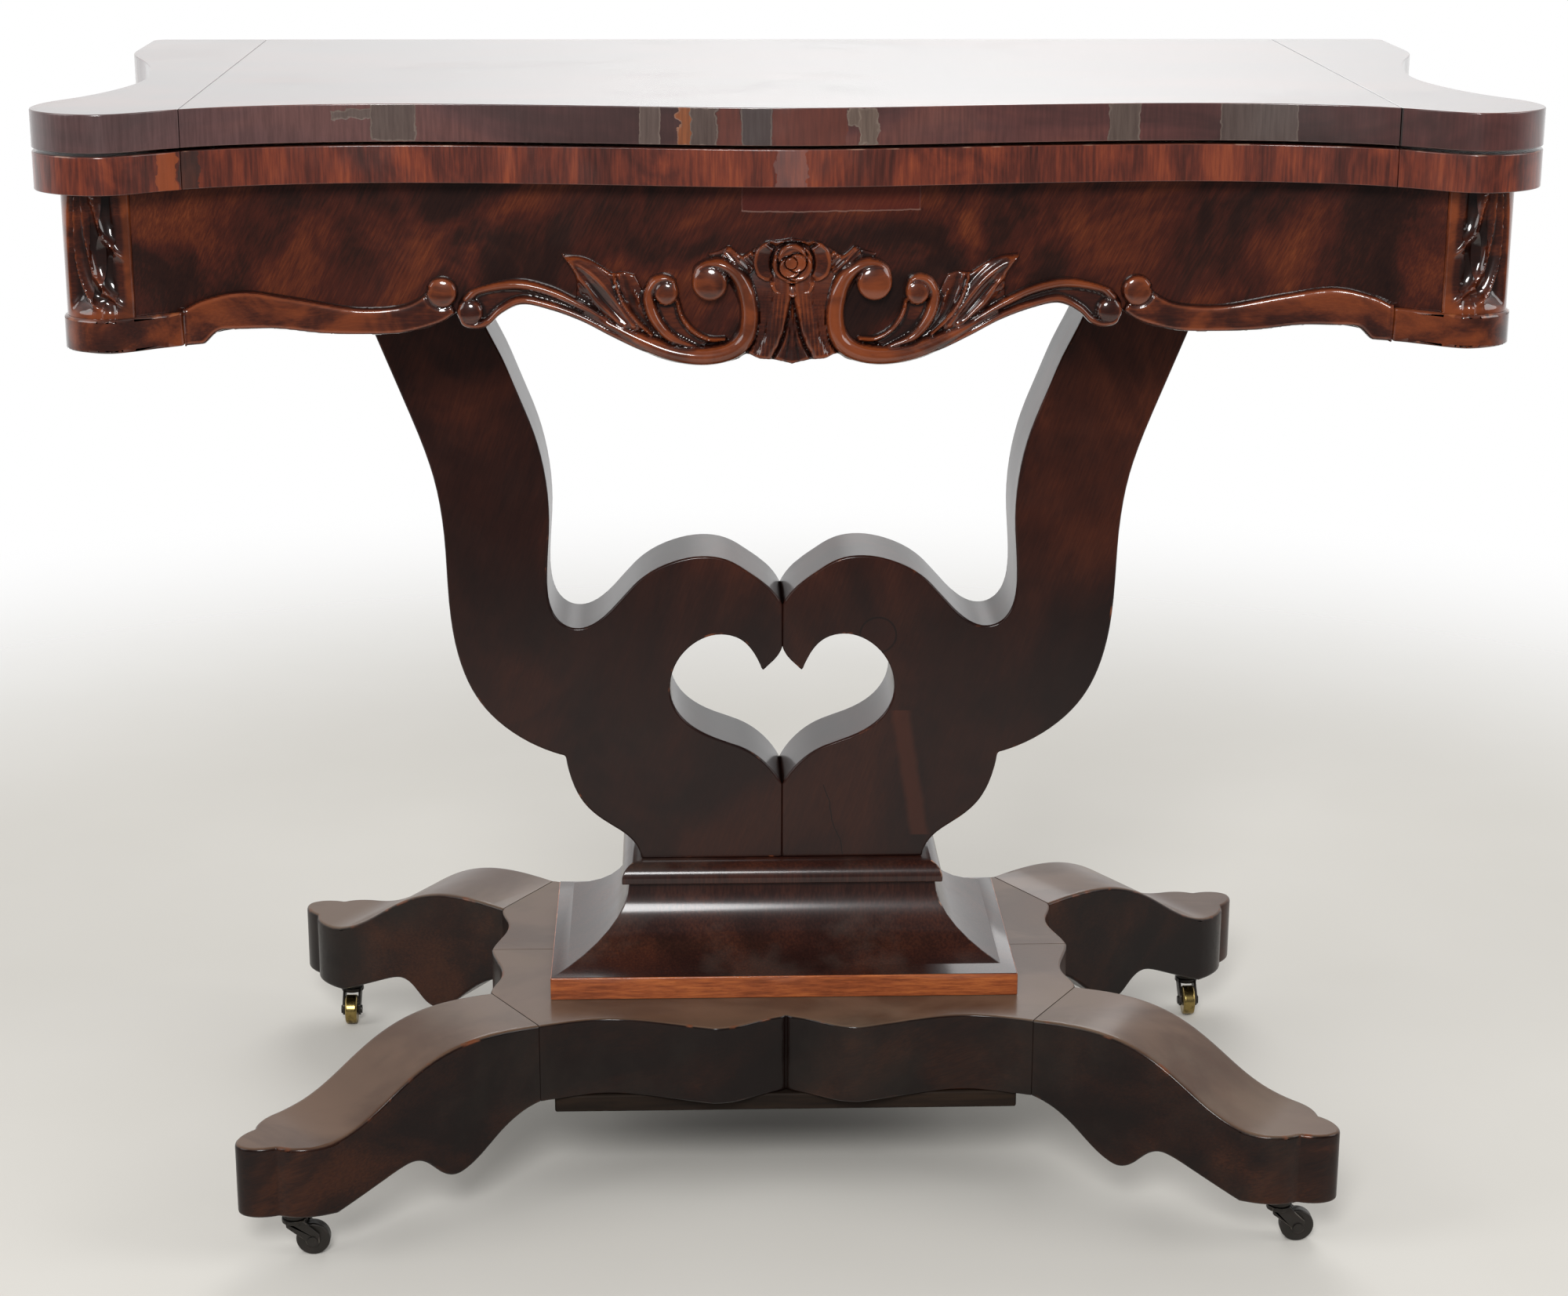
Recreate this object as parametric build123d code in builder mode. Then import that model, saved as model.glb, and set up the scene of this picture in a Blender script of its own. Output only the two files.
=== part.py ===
from build123d import *
from math import cos, radians, sin
import os

os.makedirs("parts", exist_ok=True)

# Fold-over card table on a swivel top, with a lyre pedestal on a plinth, a platform and four scroll legs.
# Millimetres. The origin is on the floor under the middle of the table, +Y points to the back, +Z up.

# Overall size, top closed
table_width = 914.0
table_depth = 457.0
table_height = 756.0

# Leaves
leaf_thickness = 23.0
leaf_gap = 2.0
leaf_back_narrowing = 9.0
leaf_back_corner = 9.0
leaf_straight_end = 72.0
leaf_end_width = 90.0
board_joint = 0.4
fold_clearance = 0.2

# Frame under the leaves
swivel_gap = 0.3
overhang = 15.0
apron_setback = 3.0
apron_height = 97.0
apron_inner_setback = 80.5
end_apron_inner_setback = 77.0
post_width = 43.0
base_block_height = 21.0
base_block_proud = 2.0
back_rail_thickness = 22.0
back_rail_height = 80.0
back_post_depth = 45.0
bead_proud = 6.0
bead_height = 17.0

# Inside of the frame
well_depth = 36.0
well_board = 8.0
partition_thickness = 12.0
bearer_thickness = 22.0
bearer_width = 106.0
pivot_rail_width = 80.0
pivot_rail_thickness = 22.0
glue_block_side = 24.0
glue_block_height = 34.0

# Lyre
lyre_half_width = 229.5
lyre_thickness = 63.5
tenon_width = 46.0
tenon_thickness = 24.0
tenon_length = 34.0
tenon_offset = 52.0
joint_clearance = 0.2

# Cap, plinth and platform
cap_half_width = 112.0
cap_half_depth = 46.0
cap_height = 14.0
cap_round = 11.0
plinth_top_half_width = 107.0
plinth_top_half_depth = 41.0
plinth_height = 50.0
band_height = 16.0
band_half_width = 161.0
band_half_depth = 93.5
platform_half_width = 206.6
platform_half_depth = 144.5
platform_thickness = 56.0
under_board_thickness = 12.0
under_board_inset = 9.0

# Legs
leg_length = 208.0
leg_joint_x = 167.0
leg_joint_y = 137.4
leg_joint_back_x = 203.0
leg_joint_back_y = 79.0
foot_bottom = 38.0
leg_edge_round = 1.5
caster_reach = 169.0

# Casters
wheel_radius = 11.3
wheel_width = 9.0
wheel_round = 1.6
axle_radius = 2.0
axle_head_radius = 3.2
axle_head = 1.0
running_fit = 0.05
caster_trail = 12.0
fork_gap = 10.0
fork_cheek = 2.0
fork_cheek_radius = 4.6
fork_crown = 3.0
fork_crown_radius = 8.6
fork_crown_drop = 10.0
stem_radius = 3.5
stem_length = 22.0
plate_radius = 14.0
plate_thickness = 2.4
plate_boss_radius = 7.5
turning_gap = 0.5

# Leaf hinges
hinge_plate_length = 58.0
hinge_plate_height = 13.0
hinge_plate_thickness = 3.0
hinge_knuckle = 3.2
hinge_pin_radius = 1.5
hinge_play = 0.3

# Pivot of the top
pivot_plate_side = 80.0
pivot_plate_thickness = 4.0
pivot_bolt_radius = 6.0
pivot_head_radius = 11.0
pivot_head = 4.0
pivot_washer_radius = 17.0
pivot_washer_thickness = 2.0
pivot_nut_radius = 10.5
pivot_nut_height = 9.0
pivot_bolt_end = 3.0

# Screws
screw_radius = 1.8
screw_head_radius = 3.4
screw_head = 1.6
screw_length = 15.0
bearer_screw_radius = 2.6
bearer_screw_head_radius = 5.0
bearer_screw_head = 3.0
bearer_screw_length = 48.0
screw_play = 0.05

# Carving
scroll_ball = 10.0
scroll_band = 9.5
small_scroll_ball = 7.5
small_scroll_band = 6.0
scroll_proud = 10.0
crest_half_width = 204.0
crest_height = 82.0
crest_drop = 13.7
crest_fan_half_width = 12.5
crest_fan_height = 40.0
rose_radius = 22.0
rose_rise = 63.5
rose_petal_radius = 9.5
rose_bud_radius = 12.5
rose_bud_petal_radius = 8.5
rose_petal_height = 6.0
rose_depth = 13.0
post_flute_radius = 5.0
post_flute_count = 5
post_flute_lean = 24.0

# Heights from the floor up
platform_top = foot_bottom + 41.0 / 56.0 * platform_thickness + platform_thickness
platform_bottom = platform_top - platform_thickness
band_top = platform_top + band_height
plinth_top = band_top + plinth_height
cap_top = plinth_top + cap_height
upper_leaf_top = table_height
upper_leaf_bottom = upper_leaf_top - leaf_thickness
lower_leaf_top = upper_leaf_bottom - leaf_gap
lower_leaf_bottom = lower_leaf_top - leaf_thickness
frame_top = lower_leaf_bottom - swivel_gap
apron_bottom = frame_top - apron_height
well_floor = frame_top - well_depth
bearer_top = well_floor - well_board
lyre_top = bearer_top - bearer_thickness
lyre_height = lyre_top - cap_top
fold_axis_z = lower_leaf_top + leaf_gap / 2

half_width = table_width / 2
half_depth = table_depth / 2
leaf_back_half_width = half_width - leaf_back_narrowing
apron_inner = half_depth - apron_inner_setback
end_apron_inner = half_width - end_apron_inner_setback
fold_axis_y = half_depth - hinge_knuckle
leaf_back = fold_axis_y - fold_clearance
frame_back = leaf_back - overhang
post_inner_x = half_width - overhang - post_width
apron_offset = overhang + apron_setback
pivot_x = fold_axis_y / 2
pivot_y = fold_axis_y / 2

# Leaf outline, right half: the serpentine front runs from the middle to the ear's tip,
# the hollow side from there to the straight end at the back. Shares of half the width and depth.
leaf_front_shares = [
    (0.0, -0.867), (0.20, -0.827), (0.40, -0.777), (0.60, -0.770), (0.72, -0.815),
    (0.82, -0.905), (0.900, -0.999), (0.965, -0.955), (1.0, -0.825),
]
leaf_side_shares = [(1.0, -0.825), (0.962, -0.62), (0.918, -0.38), (0.903, -0.15), (0.915, 0.08), (0.950, 0.36)]


def along(shares, unit_x, unit_y, start_x=0, start_y=0):
    return [(start_x + x * unit_x, start_y + y * unit_y) for x, y in shares]


straight_start = leaf_back - leaf_back_corner - leaf_straight_end
with BuildLine():
    front_edge = Spline(*along(leaf_front_shares, half_width, half_depth), tangents=((1, 0), (0, 1)))
with BuildLine():
    side_places = along(leaf_side_shares, half_width, half_depth) + [(leaf_back_half_width, straight_start)]
    side_edge = Spline(*side_places, tangents=((0, 1), (0, 1)))

with BuildSketch() as leaf_outline:
    with BuildLine():
        add(front_edge)
        add(side_edge)
        Line((leaf_back_half_width, straight_start), (leaf_back_half_width, leaf_back - leaf_back_corner))
        RadiusArc(
            (leaf_back_half_width, leaf_back - leaf_back_corner),
            (leaf_back_half_width - leaf_back_corner, leaf_back),
            -leaf_back_corner,
        )
        Line((leaf_back_half_width - leaf_back_corner, leaf_back), (0, leaf_back))
        mirror(about=Plane.YZ)
    make_face()

front_steps = 22
side_steps = 9


def inset_points(edge, inset, steps):
    """Points of an edge of the outline, drawn in towards the table's middle."""
    points = []
    for i in range(steps + 1):
        place = edge @ (i / steps)
        way = edge % (i / steps)
        points.append((place.X - way.Y * inset, place.Y + way.X * inset))
    return points


def both_sides(points):
    """A right half's points with their mirror image, left to right; the first point is on the middle."""
    return [(-x, y) for x, y in reversed(points[1:])] + points


def front_band(inset):
    """The whole front from its drawn-in outline back to the apron's inner face."""
    points = both_sides(inset_points(front_edge, inset, front_steps))
    with BuildSketch() as band:
        with BuildLine():
            Spline(*points)
            Polyline(points[-1], (points[-1][0], -apron_inner), (points[0][0], -apron_inner), points[0])
        make_face()
    return band.sketch


def front_strip(outer_inset, inner_inset):
    """The strip of the whole front between two drawn-in outlines."""
    with BuildSketch() as strip:
        add(front_band(outer_inset))
        add(front_band(inner_inset), mode=Mode.SUBTRACT)
    return strip.sketch


def right_outline(inset):
    return inset_points(front_edge, inset, front_steps)[:-1] + inset_points(side_edge, inset, side_steps)


def right_half(inset):
    """The right half of the frame's plan inside a drawn-in outline."""
    points = right_outline(inset)
    with BuildSketch() as half:
        with BuildLine():
            Spline(*points, tangents=((1, 0), (0, 1)))
            Polyline(points[-1], (points[-1][0], frame_back), (0, frame_back), points[0])
        make_face()
    return half.sketch


def right_strip(outer_inset, inner_inset):
    outer = right_outline(outer_inset)
    inner = right_outline(inner_inset)
    with BuildSketch() as strip:
        with BuildLine():
            Spline(*outer, tangents=((1, 0), (0, 1)))
            Spline(*inner, tangents=((1, 0), (0, 1)))
            Line(outer[0], inner[0])
            Line(outer[-1], inner[-1])
        make_face()
    return strip.sketch


def save(solid, name):
    solid.label = name
    export_step(solid, f"parts/{name}.step")


def screw_group(planes, radius, head_radius, head, length):
    """One group of equal screws, the head's face on each plane and the shank below it."""
    with BuildPart() as group:
        for plane in planes:
            with BuildSketch(plane):
                Circle(head_radius)
            extrude(amount=-head)
            with BuildSketch(plane):
                Circle(radius)
            extrude(amount=-length)
    return group.part


def cut_screw_holes(planes, radius, head_radius, head, length):
    """Holes for the same screws, with play, cut in the part being built."""
    for plane in planes:
        with BuildSketch(plane) as head_hole:
            Circle(head_radius + screw_play)
        extrude(head_hole.sketch, amount=-head, mode=Mode.SUBTRACT)
        with BuildSketch(plane) as shank_hole:
            Circle(radius + screw_play)
        extrude(shank_hole.sketch, amount=-length - screw_play, mode=Mode.SUBTRACT)


# Hinge plates: let into the straight ends of the leaves at the back corners
plate_inner_x = leaf_back_half_width - hinge_plate_thickness
hinge_start_y = leaf_back - hinge_plate_length


def hinge_screw_planes(side, up):
    """Three screws along a plate; up is 1 in the upper leaf and -1 in the lower one."""
    height = fold_axis_z + up * (leaf_gap / 2 + hinge_plate_height / 2)
    step = hinge_plate_length / 3.6
    return [
        Plane(origin=(side * leaf_back_half_width, hinge_start_y + step * (i + 0.6), height), z_dir=(side, 0, 0))
        for i in range(3)
    ]


def hinge_plate(side, up):
    """A strip with a lug of half its thickness round the pin: the lower plate has the inner half."""
    flat = Plane(origin=(side * plate_inner_x, 0, fold_axis_z), x_dir=(0, 1, 0), z_dir=(side, 0, 0))
    turn = side * up
    lug_start = hinge_plate_thickness / 2 + hinge_play / 2 if up > 0 else 0
    lug_thickness = hinge_plate_thickness / 2 - hinge_play / 2
    gap_start = 0 if up > 0 else hinge_plate_thickness / 2 - hinge_play / 2
    gap_thickness = hinge_plate_thickness / 2 + hinge_play / 2
    with BuildPart() as plate:
        with BuildSketch(flat):
            with Locations((leaf_back - hinge_plate_length / 2, turn * (leaf_gap / 2 + hinge_plate_height / 2))):
                Rectangle(hinge_plate_length, hinge_plate_height)
        extrude(amount=hinge_plate_thickness)
        with BuildSketch(flat.offset(gap_start)):
            with Locations((fold_axis_y, 0)):
                Circle(hinge_knuckle + hinge_play)
        extrude(amount=gap_thickness, mode=Mode.SUBTRACT)
        with BuildSketch(flat.offset(lug_start)):
            with Locations((fold_axis_y, 0)):
                Circle(hinge_knuckle)
        extrude(amount=lug_thickness)
        with BuildSketch(flat):
            with Locations((fold_axis_y, 0)):
                Circle(hinge_pin_radius + (running_fit if up > 0 else 0))
        extrude(amount=hinge_plate_thickness, mode=Mode.SUBTRACT)
        cut_screw_holes(hinge_screw_planes(side, up), screw_radius, screw_head_radius, screw_head, hinge_plate_thickness)
    return plate.part


def leaf_body(bottom, up):
    """A whole leaf with the hinge recesses and their screw holes."""
    with BuildPart() as leaf:
        with BuildSketch(Plane.XY.offset(bottom)):
            add(leaf_outline.face())
        extrude(amount=leaf_thickness)
        for side in (-1, 1):
            recess_z = fold_axis_z + up * (leaf_gap / 2 + hinge_plate_height / 2)
            with Locations((side * (plate_inner_x + table_width / 2), leaf_back - hinge_plate_length / 2, recess_z)):
                Box(table_width, hinge_plate_length, hinge_plate_height, mode=Mode.SUBTRACT)
            cut_screw_holes(hinge_screw_planes(side, up), screw_radius, screw_radius, screw_head, screw_length)
    return leaf.part


def leaf_slice(leaf, left, right):
    """The board of a leaf between two upright planes across its width."""
    with BuildPart() as board:
        add(leaf)
        with BuildSketch(Plane.XY):
            with Locations(((left + right) / 2, 0)):
                Rectangle(right - left, 2 * table_depth)
        extrude(amount=table_height, mode=Mode.INTERSECT)
    return board.part


joint_x = half_width - leaf_end_width

# Pivot: a plate let into the underside of the lower leaf holds a bolt that turns in the pivot rail
pivot_plate_top = lower_leaf_bottom + pivot_plate_thickness
pivot_rail_bottom = frame_top - pivot_rail_thickness
washer_top = pivot_rail_bottom - swivel_gap
nut_top = washer_top - pivot_washer_thickness
bolt_bottom = nut_top - pivot_nut_height - pivot_bolt_end
pivot_screw_reach = pivot_plate_side / 2 - 2.5 * screw_head_radius
pivot_screw_planes = [
    Plane(origin=(pivot_x + i * pivot_screw_reach, pivot_y + j * pivot_screw_reach, lower_leaf_bottom), z_dir=(0, 0, -1))
    for i in (-1, 1)
    for j in (-1, 1)
]

with BuildPart() as lower_leaf:
    add(leaf_body(lower_leaf_bottom, -1))
    with BuildSketch(Plane.XY.offset(lower_leaf_bottom)):
        with Locations((pivot_x, pivot_y)):
            Rectangle(pivot_plate_side, pivot_plate_side)
    extrude(amount=pivot_plate_thickness, mode=Mode.SUBTRACT)
    with BuildSketch(Plane.XY.offset(pivot_plate_top)):
        with Locations((pivot_x, pivot_y)):
            Circle(pivot_head_radius + joint_clearance)
    extrude(amount=pivot_head, mode=Mode.SUBTRACT)
    cut_screw_holes(pivot_screw_planes, screw_radius, screw_radius, screw_head, screw_length)

for leaf_name, whole_leaf in (("lower_leaf", lower_leaf.part), ("upper_leaf", leaf_body(upper_leaf_bottom, 1))):
    save(leaf_slice(whole_leaf, -half_width, -joint_x - board_joint / 2), f"{leaf_name}_left_end")
    save(leaf_slice(whole_leaf, -joint_x + board_joint / 2, joint_x - board_joint / 2), f"{leaf_name}_board")
    save(leaf_slice(whole_leaf, joint_x + board_joint / 2, half_width), f"{leaf_name}_right_end")

for level, up in (("lower", -1), ("upper", 1)):
    save(Compound(children=[hinge_plate(side, up) for side in (-1, 1)]), f"{level}_hinge_plates")
    planes = hinge_screw_planes(-1, up) + hinge_screw_planes(1, up)
    save(screw_group(planes, screw_radius, screw_head_radius, screw_head, screw_length), f"{level}_hinge_screws")

with BuildPart() as hinge_pins:
    for side in (-1, 1):
        with BuildSketch(Plane(origin=(side * plate_inner_x, fold_axis_y, fold_axis_z), z_dir=(side, 0, 0))):
            Circle(hinge_pin_radius)
        extrude(amount=hinge_plate_thickness)
save(hinge_pins.part, "hinge_pins")

with BuildPart() as pivot_plate:
    with BuildSketch(Plane.XY.offset(lower_leaf_bottom)):
        with Locations((pivot_x, pivot_y)):
            Rectangle(pivot_plate_side, pivot_plate_side)
            Circle(pivot_bolt_radius, mode=Mode.SUBTRACT)
    extrude(amount=pivot_plate_thickness)
    cut_screw_holes(pivot_screw_planes, screw_radius, screw_head_radius, screw_head, pivot_plate_thickness)
save(pivot_plate.part, "pivot_plate")
save(screw_group(pivot_screw_planes, screw_radius, screw_head_radius, screw_head, screw_length), "pivot_plate_screws")

with BuildPart() as pivot_bolt:
    with BuildSketch(Plane.XY.offset(pivot_plate_top)):
        with Locations((pivot_x, pivot_y)):
            Circle(pivot_head_radius)
    extrude(amount=pivot_head)
    with BuildSketch(Plane.XY.offset(bolt_bottom)):
        with Locations((pivot_x, pivot_y)):
            Circle(pivot_bolt_radius)
    extrude(amount=pivot_plate_top - bolt_bottom)
save(pivot_bolt.part, "pivot_bolt")

with BuildPart() as pivot_washer:
    with BuildSketch(Plane.XY.offset(nut_top)):
        with Locations((pivot_x, pivot_y)):
            Circle(pivot_washer_radius)
            Circle(pivot_bolt_radius + running_fit, mode=Mode.SUBTRACT)
    extrude(amount=pivot_washer_thickness)
save(pivot_washer.part, "pivot_washer")

with BuildPart() as pivot_nut:
    with BuildSketch(Plane.XY.offset(nut_top)):
        with Locations((pivot_x, pivot_y)):
            RegularPolygon(pivot_nut_radius, 6)
            Circle(pivot_bolt_radius, mode=Mode.SUBTRACT)
    extrude(amount=-pivot_nut_height)
save(pivot_nut.part, "pivot_nut")

# Front apron: lower edge, right half, from the middle outwards, in shares of the post's inner
# distance and of the apron's height above the base blocks' underside
apron_edge_shares = [
    (0.0, -0.09), (0.053, -0.069), (0.09, -0.09), (0.138, -0.115), (0.188, -0.09), (0.231, -0.038),
    (0.278, 0.044), (0.326, 0.142), (0.376, 0.209), (0.419, 0.24), (0.461, 0.189), (0.491, 0.127),
    (0.521, 0.151),
]
bead_lower_shares = [
    (0.521, 0.151), (0.546, 0.086), (0.599, 0.024), (0.649, 0.011), (0.727, 0.024), (0.797, 0.065),
    (0.855, 0.075), (0.905, 0.047), (0.932, 0.019),
]
bead_upper_shares = [
    (0.932, 0.235), (0.902, 0.287), (0.847, 0.323), (0.774, 0.269), (0.679, 0.191), (0.612, 0.199),
    (0.576, 0.256), (0.561, 0.323),
]
bead_ball_share = (0.543, 0.285)


def apron_points(shares):
    return along(shares, post_inner_x, apron_height, 0, apron_bottom)


base_block_inner = bead_lower_shares[-1][0] * post_inner_x
crest_bottom = apron_bottom - crest_drop

with BuildPart() as front_apron:
    with BuildSketch(Plane.XY.offset(crest_bottom)):
        add(front_band(apron_offset))
        Rectangle(2 * post_inner_x, 2 * table_depth, mode=Mode.INTERSECT)
    extrude(amount=frame_top - crest_bottom)
    with BuildSketch(Plane.XZ):
        lower_points = both_sides(apron_points(apron_edge_shares[:-1] + bead_lower_shares))
        with BuildLine():
            Spline(*lower_points)
            Polyline(
                lower_points[-1],
                (half_width, lower_points[-1][1]),
                (half_width, table_height),
                (-half_width, table_height),
                (-half_width, lower_points[-1][1]),
                lower_points[0],
            )
        make_face()
    extrude(amount=table_depth, mode=Mode.INTERSECT)
save(front_apron.part, "front_apron")

# Bead moulding along the apron's lower edge, ending in a scroll beside the crest
with BuildPart() as front_beads:
    with BuildSketch(Plane.XY.offset(crest_bottom)):
        add(front_strip(apron_offset - bead_proud, apron_offset))
    extrude(amount=apron_height)
    with BuildSketch(Plane.XZ):
        with BuildLine():
            lower_edge = Spline(*apron_points(bead_lower_shares))
            upper_edge = Spline(*apron_points(bead_upper_shares))
            Line(lower_edge @ 1, upper_edge @ 0)
            Line(upper_edge @ 1, lower_edge @ 0)
        make_face()
        with Locations(apron_points([bead_ball_share])[0]):
            Circle(scroll_ball)
        mirror(about=Plane.YZ)
    extrude(amount=table_depth, mode=Mode.INTERSECT)
save(front_beads.part, "front_beads")

# Crest: a relief in two levels on the apron's face. Shares of the crest's half width and height.
crest_under_shares = [
    (0.0, 0.0), (0.049, 0.028), (0.103, 0.043), (0.137, 0.073), (0.176, 0.022), (0.27, -0.017),
    (0.368, 0.018), (0.451, 0.073), (0.544, 0.177), (0.637, 0.293), (0.735, 0.378), (0.819, 0.415),
    (0.882, 0.341), (0.922, 0.25), (0.961, 0.22), (1.0, 0.244),
]
crest_upper_shares = [
    (1.015, 0.415), (0.961, 0.543), (0.838, 0.613), (0.735, 0.567), (0.652, 0.476),
]
crest_leaf_shares = [
    (0.652, 0.476), (0.657, 0.646), (0.696, 0.805), (0.623, 0.78), (0.544, 0.671), (0.475, 0.659),
]
crest_eye_shares = [
    (0.475, 0.659), (0.451, 0.537), (0.431, 0.366), (0.382, 0.201), (0.309, 0.116), (0.23, 0.122),
    (0.181, 0.201), (0.157, 0.354), (0.172, 0.524), (0.211, 0.683), (0.255, 0.829),
]
crest_top_shares = [
    (0.255, 0.829), (0.216, 0.86), (0.189, 0.89), (0.152, 0.829), (0.118, 0.872), (0.064, 0.927),
    (0.0, 0.951),
]
big_scroll_shares = [
    (0.275, 0.744), (0.206, 0.774), (0.152, 0.659), (0.125, 0.488), (0.125, 0.28), (0.154, 0.122),
    (0.216, 0.052), (0.294, 0.046), (0.373, 0.095), (0.451, 0.177),
]
small_scroll_shares = [
    (0.377, 0.61), (0.417, 0.622), (0.434, 0.5), (0.414, 0.329), (0.368, 0.189), (0.304, 0.11),
]
strip_shares = [
    (0.995, 0.439), (0.946, 0.53), (0.838, 0.573), (0.735, 0.524), (0.637, 0.415), (0.539, 0.262),
    (0.461, 0.146),
]
big_ball_share = (0.255, 0.604)
small_ball_share = (0.382, 0.537)
curl_ball_share = (0.975, 0.341)


def crest_points(shares):
    return along(shares, crest_half_width, crest_height, 0, crest_bottom)


with BuildPart() as crest_carving:
    with BuildSketch(Plane.XY.offset(crest_bottom - crest_drop)):
        add(front_strip(apron_offset - bead_proud, apron_offset))
    extrude(amount=2 * crest_height)
    with BuildSketch(Plane.XZ):
        with BuildLine():
            Spline(*crest_points(crest_under_shares))
            Line(crest_points(crest_under_shares)[-1], crest_points(crest_upper_shares)[0])
            Spline(*crest_points(crest_upper_shares))
            Polyline(*crest_points(crest_leaf_shares))
            Spline(*crest_points(crest_eye_shares))
            Spline(*crest_points(crest_top_shares))
            Line(crest_points(crest_top_shares)[-1], crest_points(crest_under_shares)[0])
        make_face()
        mirror(about=Plane.YZ)
    extrude(amount=table_depth, mode=Mode.INTERSECT)

with BuildPart() as crest_scrolls:
    with BuildSketch(Plane.XY.offset(crest_bottom - crest_drop)):
        add(front_strip(apron_offset - scroll_proud, apron_offset))
    extrude(amount=2 * crest_height)
    with BuildSketch(Plane.XZ):
        for path_shares, width in (
            (big_scroll_shares, scroll_band),
            (small_scroll_shares, small_scroll_band),
            (strip_shares, small_scroll_band),
        ):
            with BuildLine() as path:
                Spline(*crest_points(path_shares))
            trace(path.line, line_width=width)
        for ball_share, radius in (
            (big_ball_share, scroll_ball),
            (small_ball_share, small_scroll_ball),
            (curl_ball_share, small_scroll_ball),
        ):
            with Locations(crest_points([ball_share])[0]):
                Circle(radius)
        mirror(about=Plane.YZ)
        with BuildLine():
            Polyline(
                (0, crest_bottom),
                (crest_fan_half_width, crest_bottom + crest_fan_half_width / 3),
                (crest_fan_half_width / 5, crest_bottom + crest_fan_height),
                (-crest_fan_half_width / 5, crest_bottom + crest_fan_height),
                (-crest_fan_half_width, crest_bottom + crest_fan_half_width / 3),
                close=True,
            )
        make_face()
    extrude(amount=table_depth, mode=Mode.INTERSECT)

with BuildPart() as crest:
    add(crest_carving.part)
    add(crest_scrolls.part)

# Rose: a bud in a ring of petals, set into the crest
rose_z = crest_bottom + rose_rise
rose_y = leaf_front_shares[0][1] * half_depth + apron_offset - bead_proud
rose_plane = Plane(origin=(0, rose_y, rose_z), x_dir=(1, 0, 0), z_dir=(0, -1, 0))
with BuildPart() as crest_rose:
    with BuildSketch(rose_plane.offset(-bead_proud)):
        with PolarLocations(rose_radius - rose_petal_radius, 5, start_angle=90):
            Circle(rose_petal_radius)
        Circle(rose_radius / 2)
    extrude(amount=rose_petal_height + bead_proud)
    with BuildSketch(rose_plane):
        with PolarLocations(rose_bud_radius - rose_bud_petal_radius, 3, start_angle=30):
            Circle(rose_bud_petal_radius)
    extrude(amount=rose_depth)
    add(front_apron.part, mode=Mode.SUBTRACT)
save(crest_rose.part, "crest_rose")

with BuildPart() as crest_seat:
    add(crest.part)
    add(crest_rose.part, mode=Mode.SUBTRACT)
save(crest_seat.part, "crest_carving")

# Corner posts in front: rounded as the leaf's ear, with leaning flutes; each stands on a base block
post_bottom = apron_bottom + base_block_height
post_height = frame_top - post_bottom

with BuildPart() as post_right:
    with BuildSketch(Plane.XY.offset(post_bottom)):
        add(right_half(overhang))
        with Locations((post_inner_x, -apron_inner)):
            Rectangle(table_width, table_depth, align=(Align.MIN, Align.MAX), mode=Mode.INTERSECT)
    extrude(amount=post_height)
    pitch = post_height / (post_flute_count - 1)
    front_y = -(half_depth - overhang + post_flute_radius / 2)
    lean = Vector(-sin(radians(post_flute_lean)), 0, cos(radians(post_flute_lean)))
    for i in range(post_flute_count):
        start = (post_inner_x + post_width / 2, front_y, post_bottom + i * pitch)
        with BuildSketch(Plane(origin=start, z_dir=lean)) as flute:
            Circle(post_flute_radius)
        extrude(flute.sketch, amount=post_height / 2, both=True, mode=Mode.SUBTRACT)
save(post_right.part, "corner_post_front_right")
with BuildPart() as post_left:
    mirror(post_right.part, about=Plane.YZ)
save(post_left.part, "corner_post_front_left")

with BuildPart() as block_right:
    with BuildSketch(Plane.XY.offset(apron_bottom)):
        add(right_half(overhang - base_block_proud))
        with Locations((base_block_inner, -apron_inner)):
            Rectangle(table_width, table_depth, align=(Align.MIN, Align.MAX), mode=Mode.INTERSECT)
    extrude(amount=base_block_height)
    add(front_apron.part, mode=Mode.SUBTRACT)
with BuildPart() as base_blocks:
    add(block_right.part)
    mirror(block_right.part, about=Plane.YZ)
    add(front_apron.part, mode=Mode.SUBTRACT)
save(base_blocks.part, "base_blocks")

with BuildPart() as back_post:
    with BuildSketch(Plane.XY.offset(apron_bottom)):
        add(right_half(overhang))
        with Locations((end_apron_inner, frame_back - back_post_depth)):
            Rectangle(table_width, table_depth, align=(Align.MIN, Align.MIN), mode=Mode.INTERSECT)
    extrude(amount=apron_height)
with BuildPart() as back_posts:
    add(back_post.part)
    mirror(back_post.part, about=Plane.YZ)
save(back_posts.part, "back_posts")

# End aprons between the posts, hollow as the leaf's sides, with the bead along the lower edge
end_back = frame_back - back_post_depth
end_length = end_back + apron_inner
end_edge_shares = [(0.0, 0.035), (0.10, 0.09), (0.25, 0.155), (0.5, 0.12), (0.75, 0.155), (0.90, 0.09), (1.0, 0.035)]


def end_points(lift):
    return [(-apron_inner + y * end_length, apron_bottom + z * apron_height + lift) for y, z in end_edge_shares]


def end_elevation(top_z):
    """The region above the end apron's lower edge, seen from the right."""
    points = end_points(0)
    with BuildSketch(Plane.YZ) as elevation:
        with BuildLine():
            Spline(*points)
            Polyline(
                points[-1],
                (half_depth, points[-1][1]),
                (half_depth, top_z),
                (-half_depth, top_z),
                (-half_depth, points[0][1]),
                points[0],
            )
        make_face()
    return elevation.sketch


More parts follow.
